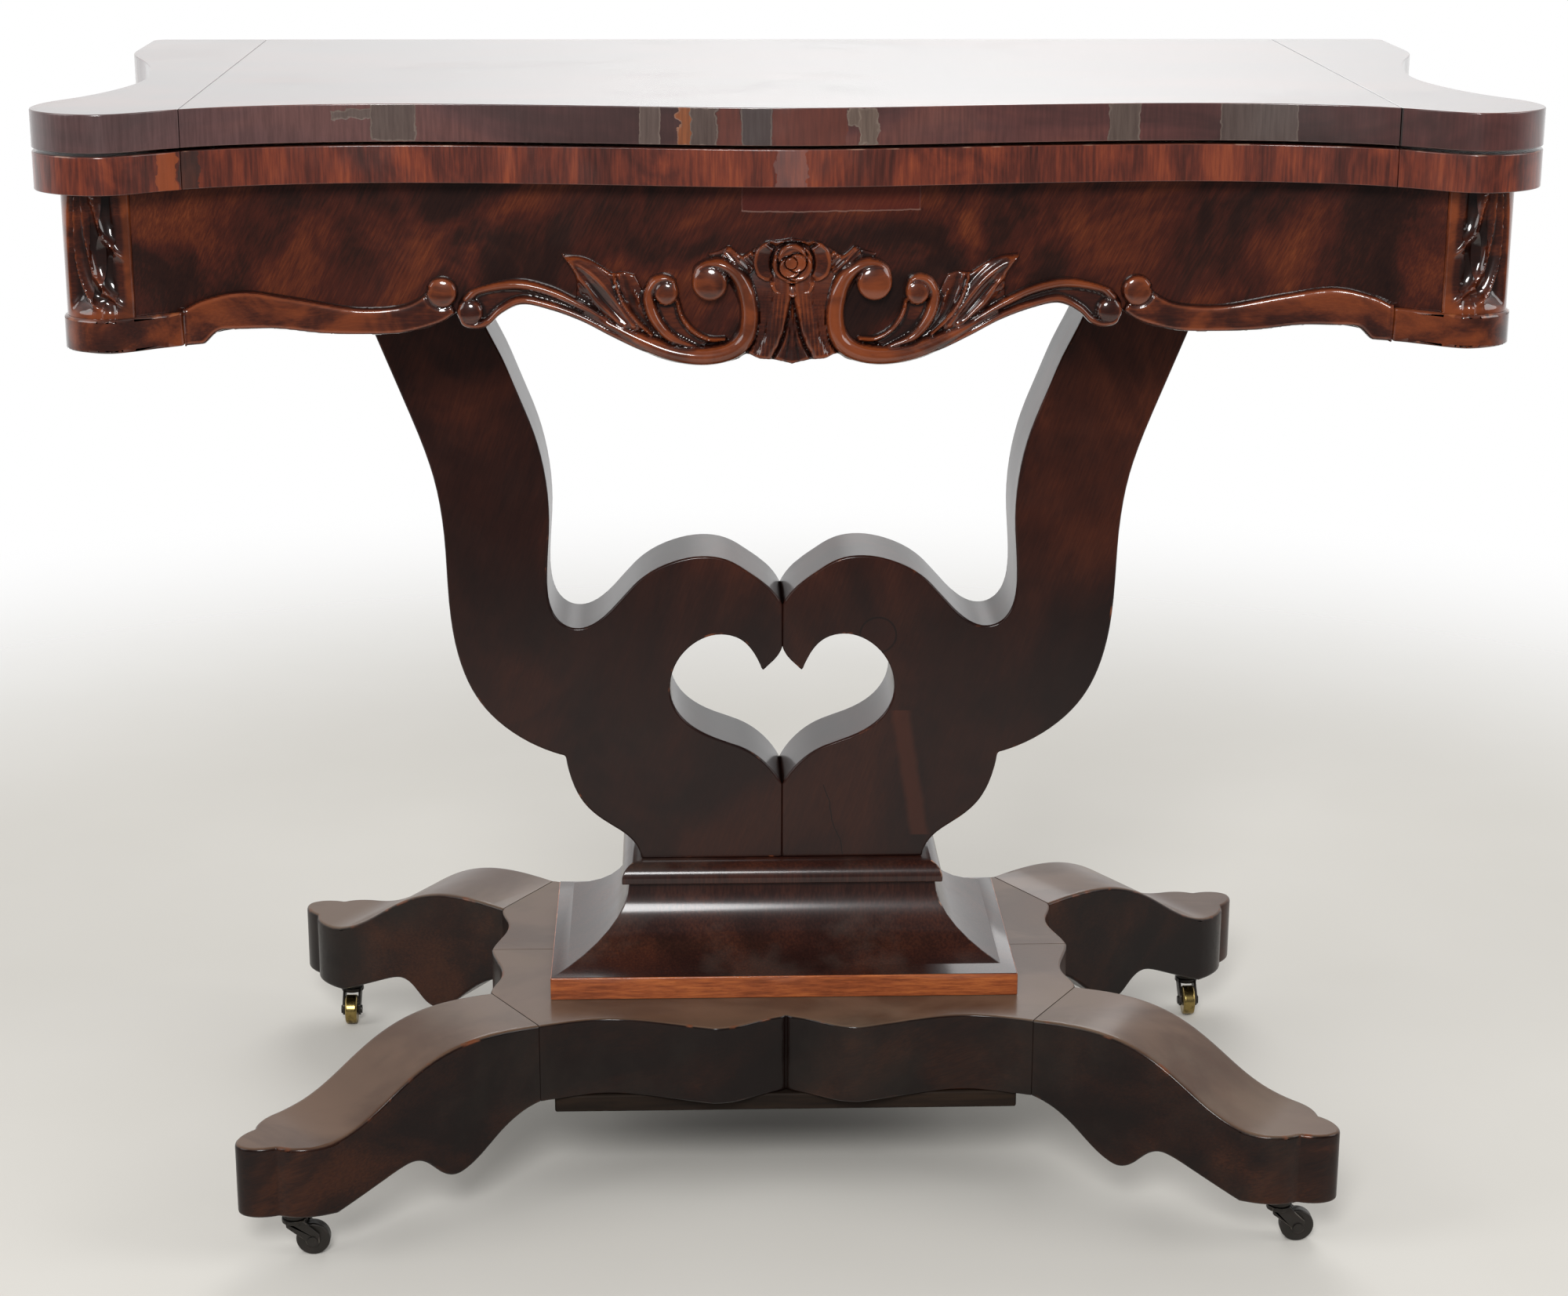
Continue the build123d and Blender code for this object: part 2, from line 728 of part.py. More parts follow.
with BuildPart() as end_apron:
    with BuildSketch(Plane.XY.offset(apron_bottom)):
        add(right_half(apron_offset))
        with Locations((end_apron_inner, -apron_inner)):
            Rectangle(table_width, end_length, align=(Align.MIN, Align.MIN), mode=Mode.INTERSECT)
    extrude(amount=apron_height)
    extrude(end_elevation(table_height), amount=table_width, mode=Mode.INTERSECT)
with BuildPart() as end_aprons:
    add(end_apron.part)
    mirror(end_apron.part, about=Plane.YZ)
save(end_aprons.part, "end_aprons")

with BuildPart() as end_bead:
    with BuildSketch(Plane.XY.offset(apron_bottom)):
        add(right_strip(apron_offset - bead_proud, apron_offset))
        with Locations((end_apron_inner, -apron_inner)):
            Rectangle(table_width, end_length, align=(Align.MIN, Align.MIN), mode=Mode.INTERSECT)
    extrude(amount=apron_height)
    with BuildSketch(Plane.YZ) as bead_elevation:
        with BuildLine():
            low_line = Spline(*end_points(0))
            high_line = Spline(*end_points(bead_height))
            Line(low_line @ 0, high_line @ 0)
            Line(low_line @ 1, high_line @ 1)
        make_face()
    extrude(bead_elevation.sketch, amount=table_width, mode=Mode.INTERSECT)
with BuildPart() as end_beads:
    add(end_bead.part)
    mirror(end_bead.part, about=Plane.YZ)
save(end_beads.part, "end_beads")

with BuildPart() as back_rail:
    with BuildSketch(Plane.XY.offset(frame_top)):
        with Locations((0, frame_back)):
            Rectangle(2 * end_apron_inner, back_rail_thickness, align=(Align.CENTER, Align.MAX))
    extrude(amount=-back_rail_height)
save(back_rail.part, "back_rail")

# Inside of the frame: well for cards on the left, pivot rail on the right, bearers across the lyre's arms
inside_back = frame_back - back_rail_thickness
inside_depth = inside_back + apron_inner

with BuildPart() as well_bottom:
    with BuildSketch(Plane.XY.offset(bearer_top)):
        with Locations((-end_apron_inner, -apron_inner)):
            Rectangle(end_apron_inner + partition_thickness / 2, inside_depth, align=(Align.MIN, Align.MIN))
    extrude(amount=well_board)
save(well_bottom.part, "well_bottom")

with BuildPart() as well_partition:
    with BuildSketch(Plane.XY.offset(well_floor)):
        with Locations((0, -apron_inner)):
            Rectangle(partition_thickness, inside_depth, align=(Align.CENTER, Align.MIN))
    extrude(amount=well_depth)
save(well_partition.part, "well_partition")

with BuildPart() as pivot_rail:
    with BuildSketch(Plane.XY.offset(pivot_rail_bottom)):
        with Locations((pivot_x, -apron_inner)):
            Rectangle(pivot_rail_width, inside_depth, align=(Align.CENTER, Align.MIN))
        with Locations((pivot_x, pivot_y)):
            Circle(pivot_bolt_radius + running_fit, mode=Mode.SUBTRACT)
    extrude(amount=pivot_rail_thickness)
save(pivot_rail.part, "pivot_rail")

# Lyre outline, right half. Shares of its half width and of its height above the cap.
lyre_outer_shares = [
    (1.272, 1.0), (1.181, 0.869), (1.094, 0.75), (1.028, 0.645), (1.0, 0.539),
    (0.993, 0.445), (0.967, 0.345), (0.909, 0.272), (0.797, 0.213), (0.654, 0.178),
]
lyre_shoulder_shares = [(0.654, 0.178), (0.638, 0.138), (0.597, 0.094), (0.532, 0.063), (0.471, 0.040), (0.429, 0.0)]
heart_shares = [
    (0.0, 0.127), (0.036, 0.156), (0.107, 0.187), (0.196, 0.206), (0.275, 0.229), (0.327, 0.265), (0.337, 0.293),
    (0.314, 0.338), (0.264, 0.367), (0.199, 0.381), (0.123, 0.372), (0.082, 0.347), (0.059, 0.320),
]
heart_hook_shares = [(0.059, 0.320), (0.040, 0.330), (0.014, 0.345), (0.0, 0.361)]
lyre_inner_shares = [
    (0.0, 0.431), (0.043, 0.462), (0.096, 0.484), (0.166, 0.506), (0.240, 0.512), (0.322, 0.504), (0.416, 0.478),
    (0.510, 0.425), (0.558, 0.403), (0.601, 0.394), (0.651, 0.400), (0.686, 0.424), (0.699, 0.462), (0.690, 0.565),
    (0.700, 0.648), (0.732, 0.719), (0.776, 0.780), (0.819, 0.837), (0.857, 0.878), (0.898, 0.930), (0.950, 1.0),
]


def lyre_points(shares):
    return along(shares, lyre_half_width, lyre_height, 0, cap_top)


bearer_middle = (lyre_inner_shares[-1][0] + lyre_outer_shares[0][0]) / 2 * lyre_half_width
arm_screw_step = lyre_thickness / 4
bearer_screw_planes = [
    Plane(origin=(side * bearer_middle, row * arm_screw_step, bearer_top), z_dir=(0, 0, 1))
    for side in (-1, 1)
    for row in (-1, 1)
]

with BuildPart() as lyre_right:
    with BuildSketch(Plane.XZ):
        with BuildLine():
            Spline(*lyre_points(lyre_outer_shares))
            Spline(*lyre_points(lyre_shoulder_shares))
            Line(lyre_points(lyre_shoulder_shares)[-1], (0, cap_top))
            Line((0, cap_top), lyre_points(heart_shares)[0])
            Spline(*lyre_points(heart_shares))
            Spline(*lyre_points(heart_hook_shares))
            Line(lyre_points(heart_hook_shares)[-1], lyre_points(lyre_inner_shares)[0])
            Spline(*lyre_points(lyre_inner_shares))
            Line(lyre_points(lyre_inner_shares)[-1], lyre_points(lyre_outer_shares)[0])
        make_face()
    extrude(amount=lyre_thickness / 2, both=True)
    with BuildSketch(Plane.XY.offset(cap_top)):
        with Locations((tenon_offset, 0)):
            Rectangle(tenon_width, tenon_thickness)
    extrude(amount=-tenon_length)
    cut_screw_holes(bearer_screw_planes[2:], bearer_screw_radius, bearer_screw_radius, bearer_screw_head, bearer_screw_length)
save(lyre_right.part, "lyre_right")

with BuildPart() as lyre_left:
    mirror(lyre_right.part, about=Plane.YZ)
save(lyre_left.part, "lyre_left")

with BuildPart() as cross_bearers:
    for side in (-1, 1):
        with BuildSketch(Plane.XY.offset(lyre_top)):
            with Locations((side * bearer_middle, -apron_inner)):
                Rectangle(bearer_width, inside_depth, align=(Align.CENTER, Align.MIN))
        extrude(amount=bearer_thickness)
    cut_screw_holes(
        bearer_screw_planes, bearer_screw_radius, bearer_screw_head_radius, bearer_screw_head, bearer_thickness
    )
save(cross_bearers.part, "cross_bearers")
save(
    screw_group(
        bearer_screw_planes, bearer_screw_radius, bearer_screw_head_radius, bearer_screw_head, bearer_screw_length
    ),
    "bearer_screws",
)

with BuildPart() as glue_blocks:
    for side in (-1, 1):
        for corner_y, turn in ((-apron_inner, 1), (inside_back, -1)):
            with BuildSketch(Plane.XY.offset(frame_top - glue_block_height)):
                with BuildLine():
                    Polyline(
                        (side * end_apron_inner, corner_y),
                        (side * (end_apron_inner - glue_block_side), corner_y),
                        (side * end_apron_inner, corner_y + turn * glue_block_side),
                        close=True,
                    )
                make_face()
            extrude(amount=glue_block_height)
save(glue_blocks.part, "glue_blocks")

# Cap with a rounded edge under the lyre, and the mortises for the lyre's tenons
with BuildPart() as lyre_cap:
    with BuildSketch(Plane.XY.offset(plinth_top)):
        Rectangle(2 * cap_half_width, 2 * cap_half_depth)
    extrude(amount=cap_height)
    fillet(lyre_cap.edges().group_by(Axis.Z)[-1], cap_round)
    with BuildSketch(Plane.XY.offset(plinth_top)):
        with Locations((-tenon_offset, 0), (tenon_offset, 0)):
            Rectangle(tenon_width + 2 * joint_clearance, tenon_thickness + 2 * joint_clearance)
    extrude(amount=cap_height, mode=Mode.SUBTRACT)
save(lyre_cap.part, "lyre_cap")

# Plinth: hollow (cavetto) sides, lofted through levels of a quarter arc
plinth_levels = 9
cavetto_end = 68.0
with BuildPart() as plinth:
    for i in range(plinth_levels):
        angle = radians(cavetto_end * i / (plinth_levels - 1))
        spread = (1 - cos(angle)) / (1 - cos(radians(cavetto_end)))
        drop = sin(angle) / sin(radians(cavetto_end))
        with BuildSketch(Plane.XY.offset(plinth_top - drop * plinth_height)):
            Rectangle(
                2 * (plinth_top_half_width + spread * (band_half_width - plinth_top_half_width)),
                2 * (plinth_top_half_depth + spread * (band_half_depth - plinth_top_half_depth)),
            )
    loft(ruled=True)
    with BuildSketch(Plane.XY.offset(plinth_top)):
        with Locations((-tenon_offset, 0), (tenon_offset, 0)):
            Rectangle(tenon_width + 2 * joint_clearance, tenon_thickness + 2 * joint_clearance)
    extrude(amount=-(tenon_length - cap_height + joint_clearance), mode=Mode.SUBTRACT)
save(plinth.part, "plinth")

with BuildPart() as plinth_band:
    with BuildSketch(Plane.XY.offset(platform_top)):
        Rectangle(2 * band_half_width, 2 * band_half_depth)
    extrude(amount=band_height)
save(plinth_band.part, "plinth_band")

# Platform, right half of the front board: two hollow swells that meet in a cusp, a slanting joint
# for the leg and a waved side. Shares of the platform's half width and depth.
platform_swell_shares = [(0.0, -0.846), (0.043, -0.882), (0.136, -0.957), (0.242, -1.0)]
platform_hollow_shares = [(0.242, -1.0), (0.363, -0.945), (0.484, -0.893), (0.605, -0.875), (0.726, -0.910)]
platform_side_shares = [(0.972, -0.44), (0.957, -0.36), (0.957, -0.26), (0.980, -0.13), (1.0, 0.0)]

joint_front = (leg_joint_x, -leg_joint_y)
joint_back = (leg_joint_back_x, -leg_joint_back_y)


def platform_board(top, thickness, inset):
    """The front half of a platform board; inset draws its whole outline in."""
    with BuildPart() as board:
        with BuildSketch(Plane.XY.offset(top)):
            with BuildLine():
                swell = Spline(*along(platform_swell_shares, platform_half_width, platform_half_depth), tangents=((0.5, -0.8), (1, 0)))
                hollow_points = along(platform_hollow_shares, platform_half_width, platform_half_depth) + [joint_front]
                Spline(*hollow_points)
                Line(joint_front, joint_back)
                side_line = Spline(joint_back, *along(platform_side_shares, platform_half_width, platform_half_depth))
                Line(side_line @ 1, (0, 0))
                Line((0, 0), swell @ 0)
            make_face()
            mirror(about=Plane.YZ)
        extrude(amount=-thickness)
        if inset:
            with BuildSketch(Plane.XY.offset(top)):
                Rectangle(2 * (platform_half_width - inset), 2 * (platform_half_depth - 2 * inset))
            extrude(amount=-thickness, mode=Mode.INTERSECT)
    return board.part


with BuildPart() as platform_front:
    add(platform_board(platform_top, platform_thickness, 0))
save(platform_front.part, "platform_front")
with BuildPart() as platform_back:
    mirror(platform_front.part, about=Plane.XZ)
save(platform_back.part, "platform_back")

with BuildPart() as under_board:
    with BuildSketch(Plane.XY.offset(platform_bottom)):
        Rectangle(2 * (leg_joint_x - under_board_inset), 2 * (leg_joint_y - under_board_inset))
    extrude(amount=-under_board_thickness)
save(under_board.part, "platform_under_board")

# Legs: sawn to a scroll in elevation, the foot's end sawn to three lobes in plan.
# Shares of the leg's length and of the height from the foot's underside to the platform's top.
leg_top_shares = [
    (0.0, 1.0), (0.10, 1.018), (0.20, 1.020), (0.317, 0.985), (0.433, 0.89),
    (0.534, 0.757), (0.63, 0.624), (0.721, 0.540), (0.808, 0.515),
]
leg_foot_share = 0.515
leg_bottom_shares = [
    (0.0, 0.423), (0.058, 0.386), (0.14, 0.284), (0.212, 0.155), (0.274, 0.067), (0.312, 0.043), (0.351, 0.067),
    (0.39, 0.139), (0.425, 0.20), (0.457, 0.222), (0.50, 0.206), (0.572, 0.144), (0.663, 0.062), (0.735, 0.0),
]
foot_lobe_shares = [(0.721, -1.0), (0.808, -0.92), (0.868, -0.73), (0.899, -0.50)]
foot_tip_shares = [(0.899, -0.50), (0.952, -0.39), (0.990, -0.18), (1.0, 0.0)]

joint_run = Vector(leg_joint_back_x - leg_joint_x, leg_joint_y - leg_joint_back_y)
leg_half_width = joint_run.length / 2
joint_middle = Vector((leg_joint_x + leg_joint_back_x) / 2, -(leg_joint_y + leg_joint_back_y) / 2)
leg_direction = Vector(joint_run.Y, -joint_run.X).normalized()
leg_side = Vector(-leg_direction.Y, leg_direction.X)
leg_rise = platform_top - foot_bottom
leg_elevation = Plane(origin=(joint_middle.X, joint_middle.Y, foot_bottom), x_dir=leg_direction, z_dir=-leg_side)
leg_plan = Plane(origin=(joint_middle.X, joint_middle.Y, 0), x_dir=leg_direction, z_dir=(0, 0, 1))
caster_place = joint_middle + leg_direction * caster_reach

wheel_axis_z = wheel_radius
plate_bottom = foot_bottom - plate_thickness
plate_screw_reach = (plate_radius + plate_boss_radius) / 2


def caster_screw_planes(x, y):
    turn = 1 if y < 0 else -1
    return [
        Plane(
            origin=(x + plate_screw_reach * cos(angle), y + turn * plate_screw_reach * sin(angle), plate_bottom),
            z_dir=(0, 0, -1),
        )
        for angle in (radians(90), radians(210), radians(330))
    ]


with BuildPart() as leg:
    with BuildSketch(leg_elevation):
        with BuildLine():
            Spline(*along(leg_top_shares, leg_length, leg_rise))
            Line((leg_top_shares[-1][0] * leg_length, leg_foot_share * leg_rise), (leg_length, leg_foot_share * leg_rise))
            Line((leg_length, leg_foot_share * leg_rise), (leg_length, 0))
            Line((leg_length, 0), (leg_bottom_shares[-1][0] * leg_length, 0))
            Spline(*along(leg_bottom_shares, leg_length, leg_rise))
            Line((0, leg_bottom_shares[0][1] * leg_rise), (0, leg_rise))
        make_face()
    extrude(amount=leg_half_width, both=True)
    foot_side = foot_lobe_shares[:-1] + foot_tip_shares[:1]
    foot_other_side = [(length, -width) for length, width in foot_side]
    foot_tip = foot_tip_shares + [(length, -width) for length, width in reversed(foot_tip_shares[:-1])]
    with BuildSketch(leg_plan):
        with BuildLine():
            near_edge = Spline(*along(foot_side, leg_length, leg_half_width))
            tip_edge = Spline(*along(foot_tip, leg_length, leg_half_width))
            far_edge = Spline(*along(foot_other_side, leg_length, leg_half_width))
            blank_side = leg_half_width + foot_bottom
            Polyline(
                near_edge @ 0,
                ((near_edge @ 0).X, -blank_side),
                (-foot_bottom, -blank_side),
                (-foot_bottom, blank_side),
                ((far_edge @ 0).X, blank_side),
                far_edge @ 0,
            )
        make_face()
    extrude(amount=2 * platform_top, mode=Mode.INTERSECT)
    with BuildSketch(Plane.XY.offset(foot_bottom)):
        with Locations((caster_place.X, caster_place.Y)):
            Circle(stem_radius + turning_gap)
    extrude(amount=stem_length + turning_gap, mode=Mode.SUBTRACT)
    cut_screw_holes(
        caster_screw_planes(caster_place.X, caster_place.Y), screw_radius, screw_radius, screw_head, screw_length
    )
save(leg.part, "leg_front_right")

with BuildPart() as leg_front_left:
    mirror(leg.part, about=Plane.YZ)
save(leg_front_left.part, "leg_front_left")
with BuildPart() as leg_back_right:
    mirror(leg.part, about=Plane.XZ)
save(leg_back_right.part, "leg_back_right")
with BuildPart() as leg_back_left:
    mirror(leg_front_left.part, about=Plane.XZ)
save(leg_back_left.part, "leg_back_left")

# Casters. Each place is (name, x, y, direction in which the wheel trails)
caster_places = [
    ("front_left", -caster_place.X, caster_place.Y, (1, 0, 0)),
    ("front_right", caster_place.X, caster_place.Y, (1, 0, 0)),
    ("back_left", -caster_place.X, -caster_place.Y, (0, -1, 0)),
    ("back_right", caster_place.X, -caster_place.Y, (0, -1, 0)),
]
boss_bottom = wheel_axis_z + wheel_radius + fork_crown + 2 * turning_gap
crown_top = boss_bottom - turning_gap
crown_bottom = crown_top - fork_crown

with BuildPart() as caster_plates:
    for name, x, y, trail in caster_places:
        with BuildSketch(Plane.XY.offset(plate_bottom)):
            with Locations((x, y)):
                Circle(plate_radius)
        extrude(amount=plate_thickness)
        with BuildSketch(Plane.XY.offset(boss_bottom)):
            with Locations((x, y)):
                Circle(plate_boss_radius)
        extrude(amount=plate_bottom - boss_bottom)
        with BuildSketch(Plane.XY.offset(boss_bottom)):
            with Locations((x, y)):
                Circle(stem_radius + running_fit)
        extrude(amount=foot_bottom - boss_bottom, mode=Mode.SUBTRACT)
        cut_screw_holes(caster_screw_planes(x, y), screw_radius, screw_head_radius, screw_head, plate_thickness)
save(caster_plates.part, "caster_plates")

all_caster_screws = [plane for name, x, y, trail in caster_places for plane in caster_screw_planes(x, y)]
save(screw_group(all_caster_screws, screw_radius, screw_head_radius, screw_head, screw_length), "caster_screws")

for name, x, y, trail in caster_places:
    side_view = Plane(origin=(x, y, 0), x_dir=trail, z_dir=Vector(*trail).cross(Vector(0, 0, 1)))
    cheek_start = fork_gap / 2
    with BuildPart() as fork:
        with BuildSketch(Plane.XY.offset(crown_bottom)):
            with Locations((x, y)):
                Circle(fork_crown_radius)
        extrude(amount=fork_crown)
        for turn in (-1, 1):
            with BuildSketch(side_view.offset(turn * cheek_start)):
                with BuildLine():
                    Polyline(
                        (-fork_crown_radius * 0.6, crown_top),
                        (fork_crown_radius * 0.7, crown_top),
                        (caster_trail + fork_cheek_radius, wheel_axis_z + fork_cheek_radius),
                        (caster_trail + fork_cheek_radius, wheel_axis_z),
                        (caster_trail - fork_cheek_radius, wheel_axis_z),
                        (-fork_crown_radius * 0.6, crown_bottom - fork_cheek),
                        close=True,
                    )
                make_face()
                with Locations((caster_trail, wheel_axis_z)):
                    Circle(fork_cheek_radius)
            extrude(amount=turn * fork_cheek)
            with BuildSketch(side_view.offset(turn * cheek_start)):
                with Locations((caster_trail, wheel_axis_z)):
                    Circle(axle_radius + running_fit)
            extrude(amount=turn * fork_cheek, mode=Mode.SUBTRACT)
        with BuildSketch(Plane.XY.offset(crown_top)):
            with Locations((x, y)):
                Circle(stem_radius)
        extrude(amount=foot_bottom + stem_length - crown_top)
    save(fork.part, f"caster_fork_{name}")

    wheel_plane = Plane(origin=side_view.from_local_coords((caster_trail, wheel_axis_z, 0)), x_dir=trail, z_dir=side_view.z_dir)
    with BuildPart() as axle:
        with BuildSketch(wheel_plane):
            Circle(axle_radius)
        extrude(amount=fork_gap / 2 + fork_cheek + axle_head, both=True)
        for turn in (-1, 1):
            with BuildSketch(wheel_plane.offset(turn * (fork_gap / 2 + fork_cheek + running_fit))):
                Circle(axle_head_radius)
            extrude(amount=turn * axle_head)
    save(axle.part, f"caster_axle_{name}")

    with BuildPart() as wheel:
        with BuildSketch(wheel_plane):
            Circle(wheel_radius)
        extrude(amount=wheel_width / 2, both=True)
        fillet(wheel.edges(), wheel_round)
        with BuildSketch(wheel_plane):
            Circle(axle_radius + running_fit)
        extrude(amount=wheel_width, both=True, mode=Mode.SUBTRACT)
    save(wheel.part, f"caster_wheel_{name}")
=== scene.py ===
import math

import bmesh
import bpy
import numpy as np
from mathutils import Matrix, Vector


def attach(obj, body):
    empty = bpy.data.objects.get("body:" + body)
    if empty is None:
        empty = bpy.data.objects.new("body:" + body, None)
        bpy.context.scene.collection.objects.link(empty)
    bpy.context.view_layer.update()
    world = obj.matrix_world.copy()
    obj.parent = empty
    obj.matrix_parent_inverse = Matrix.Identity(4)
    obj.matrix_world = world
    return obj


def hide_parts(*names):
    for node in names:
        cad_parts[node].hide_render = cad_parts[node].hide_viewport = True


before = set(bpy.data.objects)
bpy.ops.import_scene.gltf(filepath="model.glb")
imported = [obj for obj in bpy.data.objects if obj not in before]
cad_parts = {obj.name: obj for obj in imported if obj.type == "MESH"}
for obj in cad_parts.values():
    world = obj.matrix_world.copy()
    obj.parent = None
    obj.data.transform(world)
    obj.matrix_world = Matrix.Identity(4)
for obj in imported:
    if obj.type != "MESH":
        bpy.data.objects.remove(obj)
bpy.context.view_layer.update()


# ---- colours and node helpers

def paint(code):
    # a colour as it is read off a screen, made linear
    parts = [int(code[i:i + 2], 16) / 255 for i in (1, 3, 5)]
    return tuple(c / 12.92 if c <= 0.04045 else ((c + 0.055) / 1.055) ** 2.4 for c in parts) + (1.0,)


def feed(tree, socket, value):
    # another node's output is linked, a value or a colour's code is set
    if isinstance(value, bpy.types.NodeSocket):
        tree.links.new(value, socket)
    else:
        socket.default_value = paint(value) if isinstance(value, str) and value.startswith("#") else value


def addNode(tree, kind, given=None, **settings):
    node = tree.nodes.new(kind)
    for key, value in settings.items():
        setattr(node, key, value)
    for key, value in (given or {}).items():
        if value is not None:
            feed(tree, node.inputs[key], value)
    return node


def calc(tree, operation, first, *others):
    for other in others:
        first = addNode(tree, "ShaderNodeMath", {0: first, 1: other}, operation=operation).outputs[0]
    return first


def times(tree, *values):
    return calc(tree, "MULTIPLY", *values)


def minus(tree, a, b):
    return calc(tree, "SUBTRACT", a, b)


def unsigned(tree, value):
    return calc(tree, "ABSOLUTE", value, None)


def band(tree, value, low, high, outLow=0.0, outHigh=1.0):
    given = {"Value": value, "From Min": low, "From Max": high, "To Min": outLow, "To Max": outHigh}
    return addNode(tree, "ShaderNodeMapRange", given, interpolation_type="SMOOTHSTEP").outputs["Result"]


def blend(tree, mask, under, over):
    return addNode(tree, "ShaderNodeMix", {"Factor": mask, "A": under, "B": over}, data_type="RGBA").outputs["Result"]


def noise(tree, vector, scale, dimensions="3D", **more):
    given = {"Vector": vector, "Scale": scale, **more}
    return addNode(tree, "ShaderNodeTexNoise", given, noise_dimensions=dimensions).outputs["Fac"]


def axes(tree, vector):
    return addNode(tree, "ShaderNodeSeparateXYZ", {0: vector}).outputs


def attribute(tree, name):
    return addNode(tree, "ShaderNodeAttribute", attribute_name=name).outputs["Fac"]


def colourSteps(tree, value, steps):
    ramp = addNode(tree, "ShaderNodeValToRGB", {"Fac": value})
    stops = ramp.color_ramp.elements
    while len(stops) < len(steps):
        stops.new(0.5)
    for stop, (position, code) in zip(stops, steps):
        stop.position = position
        stop.color = paint(code)
    return ramp.outputs["Color"]


def startGroup(name, inputs, outputs):
    # an input without a number is a vector
    tree = bpy.data.node_groups.new(name, "ShaderNodeTree")
    for label, value in inputs.items():
        kind = "NodeSocketVector" if value is None else "NodeSocketFloat"
        socket = tree.interface.new_socket(name=label, in_out="INPUT", socket_type=kind)
        if value is not None:
            socket.default_value = value
    for label in outputs:
        tree.interface.new_socket(name=label, in_out="OUTPUT", socket_type="NodeSocketFloat")
    return tree, addNode(tree, "NodeGroupInput").outputs, addNode(tree, "NodeGroupOutput").inputs


def place(tree, group, given):
    return addNode(tree, "ShaderNodeGroup", given, node_tree=group).outputs


# ---- shared effects

effects = {
    "haze": (0.48, 0.66), "rippleSize": 55.0, "wearStart": 0.95, "wearReach": 0.7, "wearSoft": 0.12,
    "ragSize": 160.0, "ragPull": 6.0, "inside": (0.0, 0.0003), "outline": (0.0007, 0.0012, 1.0, 0.0),
    "wanderSize": 60.0, "crackSides": (0.4, 1.0, 1.0, 0.0), "crackEnds": (0.0001, 0.9999),
}
grainLooks = {
    "figure": {"Detail": 4.0, "Roughness": 0.55, "Distortion": 0.9}, "figureBand": (0.32, 0.68),
    "lines": {"Detail": 5.0, "Roughness": 0.6}, "linesBand": (0.3, 0.7), "linePull": 14.0,
    "poreSize": 170.0, "poresBand": (0.6, 0.72), "porePull": 11.0,
}


def makeGrainGroup():
    # wood: the grain runs along the incoming vector's X
    inputs = {"Vector": None, "Figure Size": 9.0, "Figure Pull": 2.5, "Line Size": 60.0, "Seed": 0.0}
    tree, given, out = startGroup("woodGrain", inputs, ["Figure", "Lines", "Pores"])

    def stretched(pull):
        ways = addNode(tree, "ShaderNodeCombineXYZ", {0: 1.0, 1: pull, 2: pull}).outputs[0]
        return addNode(tree, "ShaderNodeVectorMath", {0: given["Vector"], 1: ways}, operation="MULTIPLY").outputs[0]

    def seeded(pull, size, looks):
        return noise(tree, stretched(pull), size, "4D", W=given["Seed"], **looks)

    figure = seeded(given["Figure Pull"], given["Figure Size"], grainLooks["figure"])
    lines = seeded(grainLooks["linePull"], given["Line Size"], grainLooks["lines"])
    pores = noise(tree, stretched(grainLooks["porePull"]), grainLooks["poreSize"])
    for label, pattern in (("Figure", figure), ("Lines", lines), ("Pores", pores)):
        feed(tree, out[label], band(tree, pattern, *grainLooks[label.lower() + "Band"]))
    return tree


def makeHazeGroup():
    # old varnish: patches where it has gone dull, and its uneven surface
    inputs = {"Vector": None, "Patch Size": 14.0, "Amount": 0.5}
    tree, given, out = startGroup("varnishHaze", inputs, ["Haze", "Ripple"])
    cloud = noise(tree, given["Vector"], given["Patch Size"], Detail=5.0, Roughness=0.6)
    feed(tree, out["Haze"], times(tree, band(tree, cloud, *effects["haze"]), given["Amount"]))
    feed(tree, out["Ripple"], noise(tree, given["Vector"], effects["rippleSize"], Detail=1.5))
    return tree


def makeWearGroup():
    # rubbed edges: the piece's "edge" attribute broken up by a fine pattern
    tree, given, out = startGroup("rubbedEdge", {"Vector": None, "Amount": 0.5, "Break Size": 60.0}, ["Wear"])
    breaks = noise(tree, given["Vector"], given["Break Size"], Detail=4.0)
    start = minus(tree, effects["wearStart"], times(tree, given["Amount"], effects["wearReach"]))
    broken = band(tree, breaks, minus(tree, start, effects["wearSoft"]), start)
    feed(tree, out["Wear"], times(tree, broken, attribute(tree, "edge")))
    return tree


def makePatchGroup():
    # a box in x and z with ragged sides, for veneer that is missing or let in
    inputs = {"Vector": None, "Left": 0.0, "Right": 0.01, "Bottom": 0.0, "Top": 1.0, "Rag": 0.001}
    tree, given, out = startGroup("veneerPatch", inputs, ["Inside", "Outline"])
    ragged = noise(tree, given["Vector"], effects["ragSize"], Detail=3.0)
    at = axes(tree, given["Vector"])
    shift = times(tree, minus(tree, ragged, 0.5), times(tree, given["Rag"], effects["ragPull"]))
    x, z = (calc(tree, "ADD", at[axis], shift) for axis in (0, 2))
    far = calc(tree, "MINIMUM", minus(tree, x, given["Left"]), minus(tree, given["Right"], x),
               minus(tree, z, given["Bottom"]), minus(tree, given["Top"], z))
    inside = band(tree, far, *effects["inside"])
    feed(tree, out["Inside"], inside)
    feed(tree, out["Outline"], times(tree, inside, band(tree, far, *effects["outline"])))
    return tree


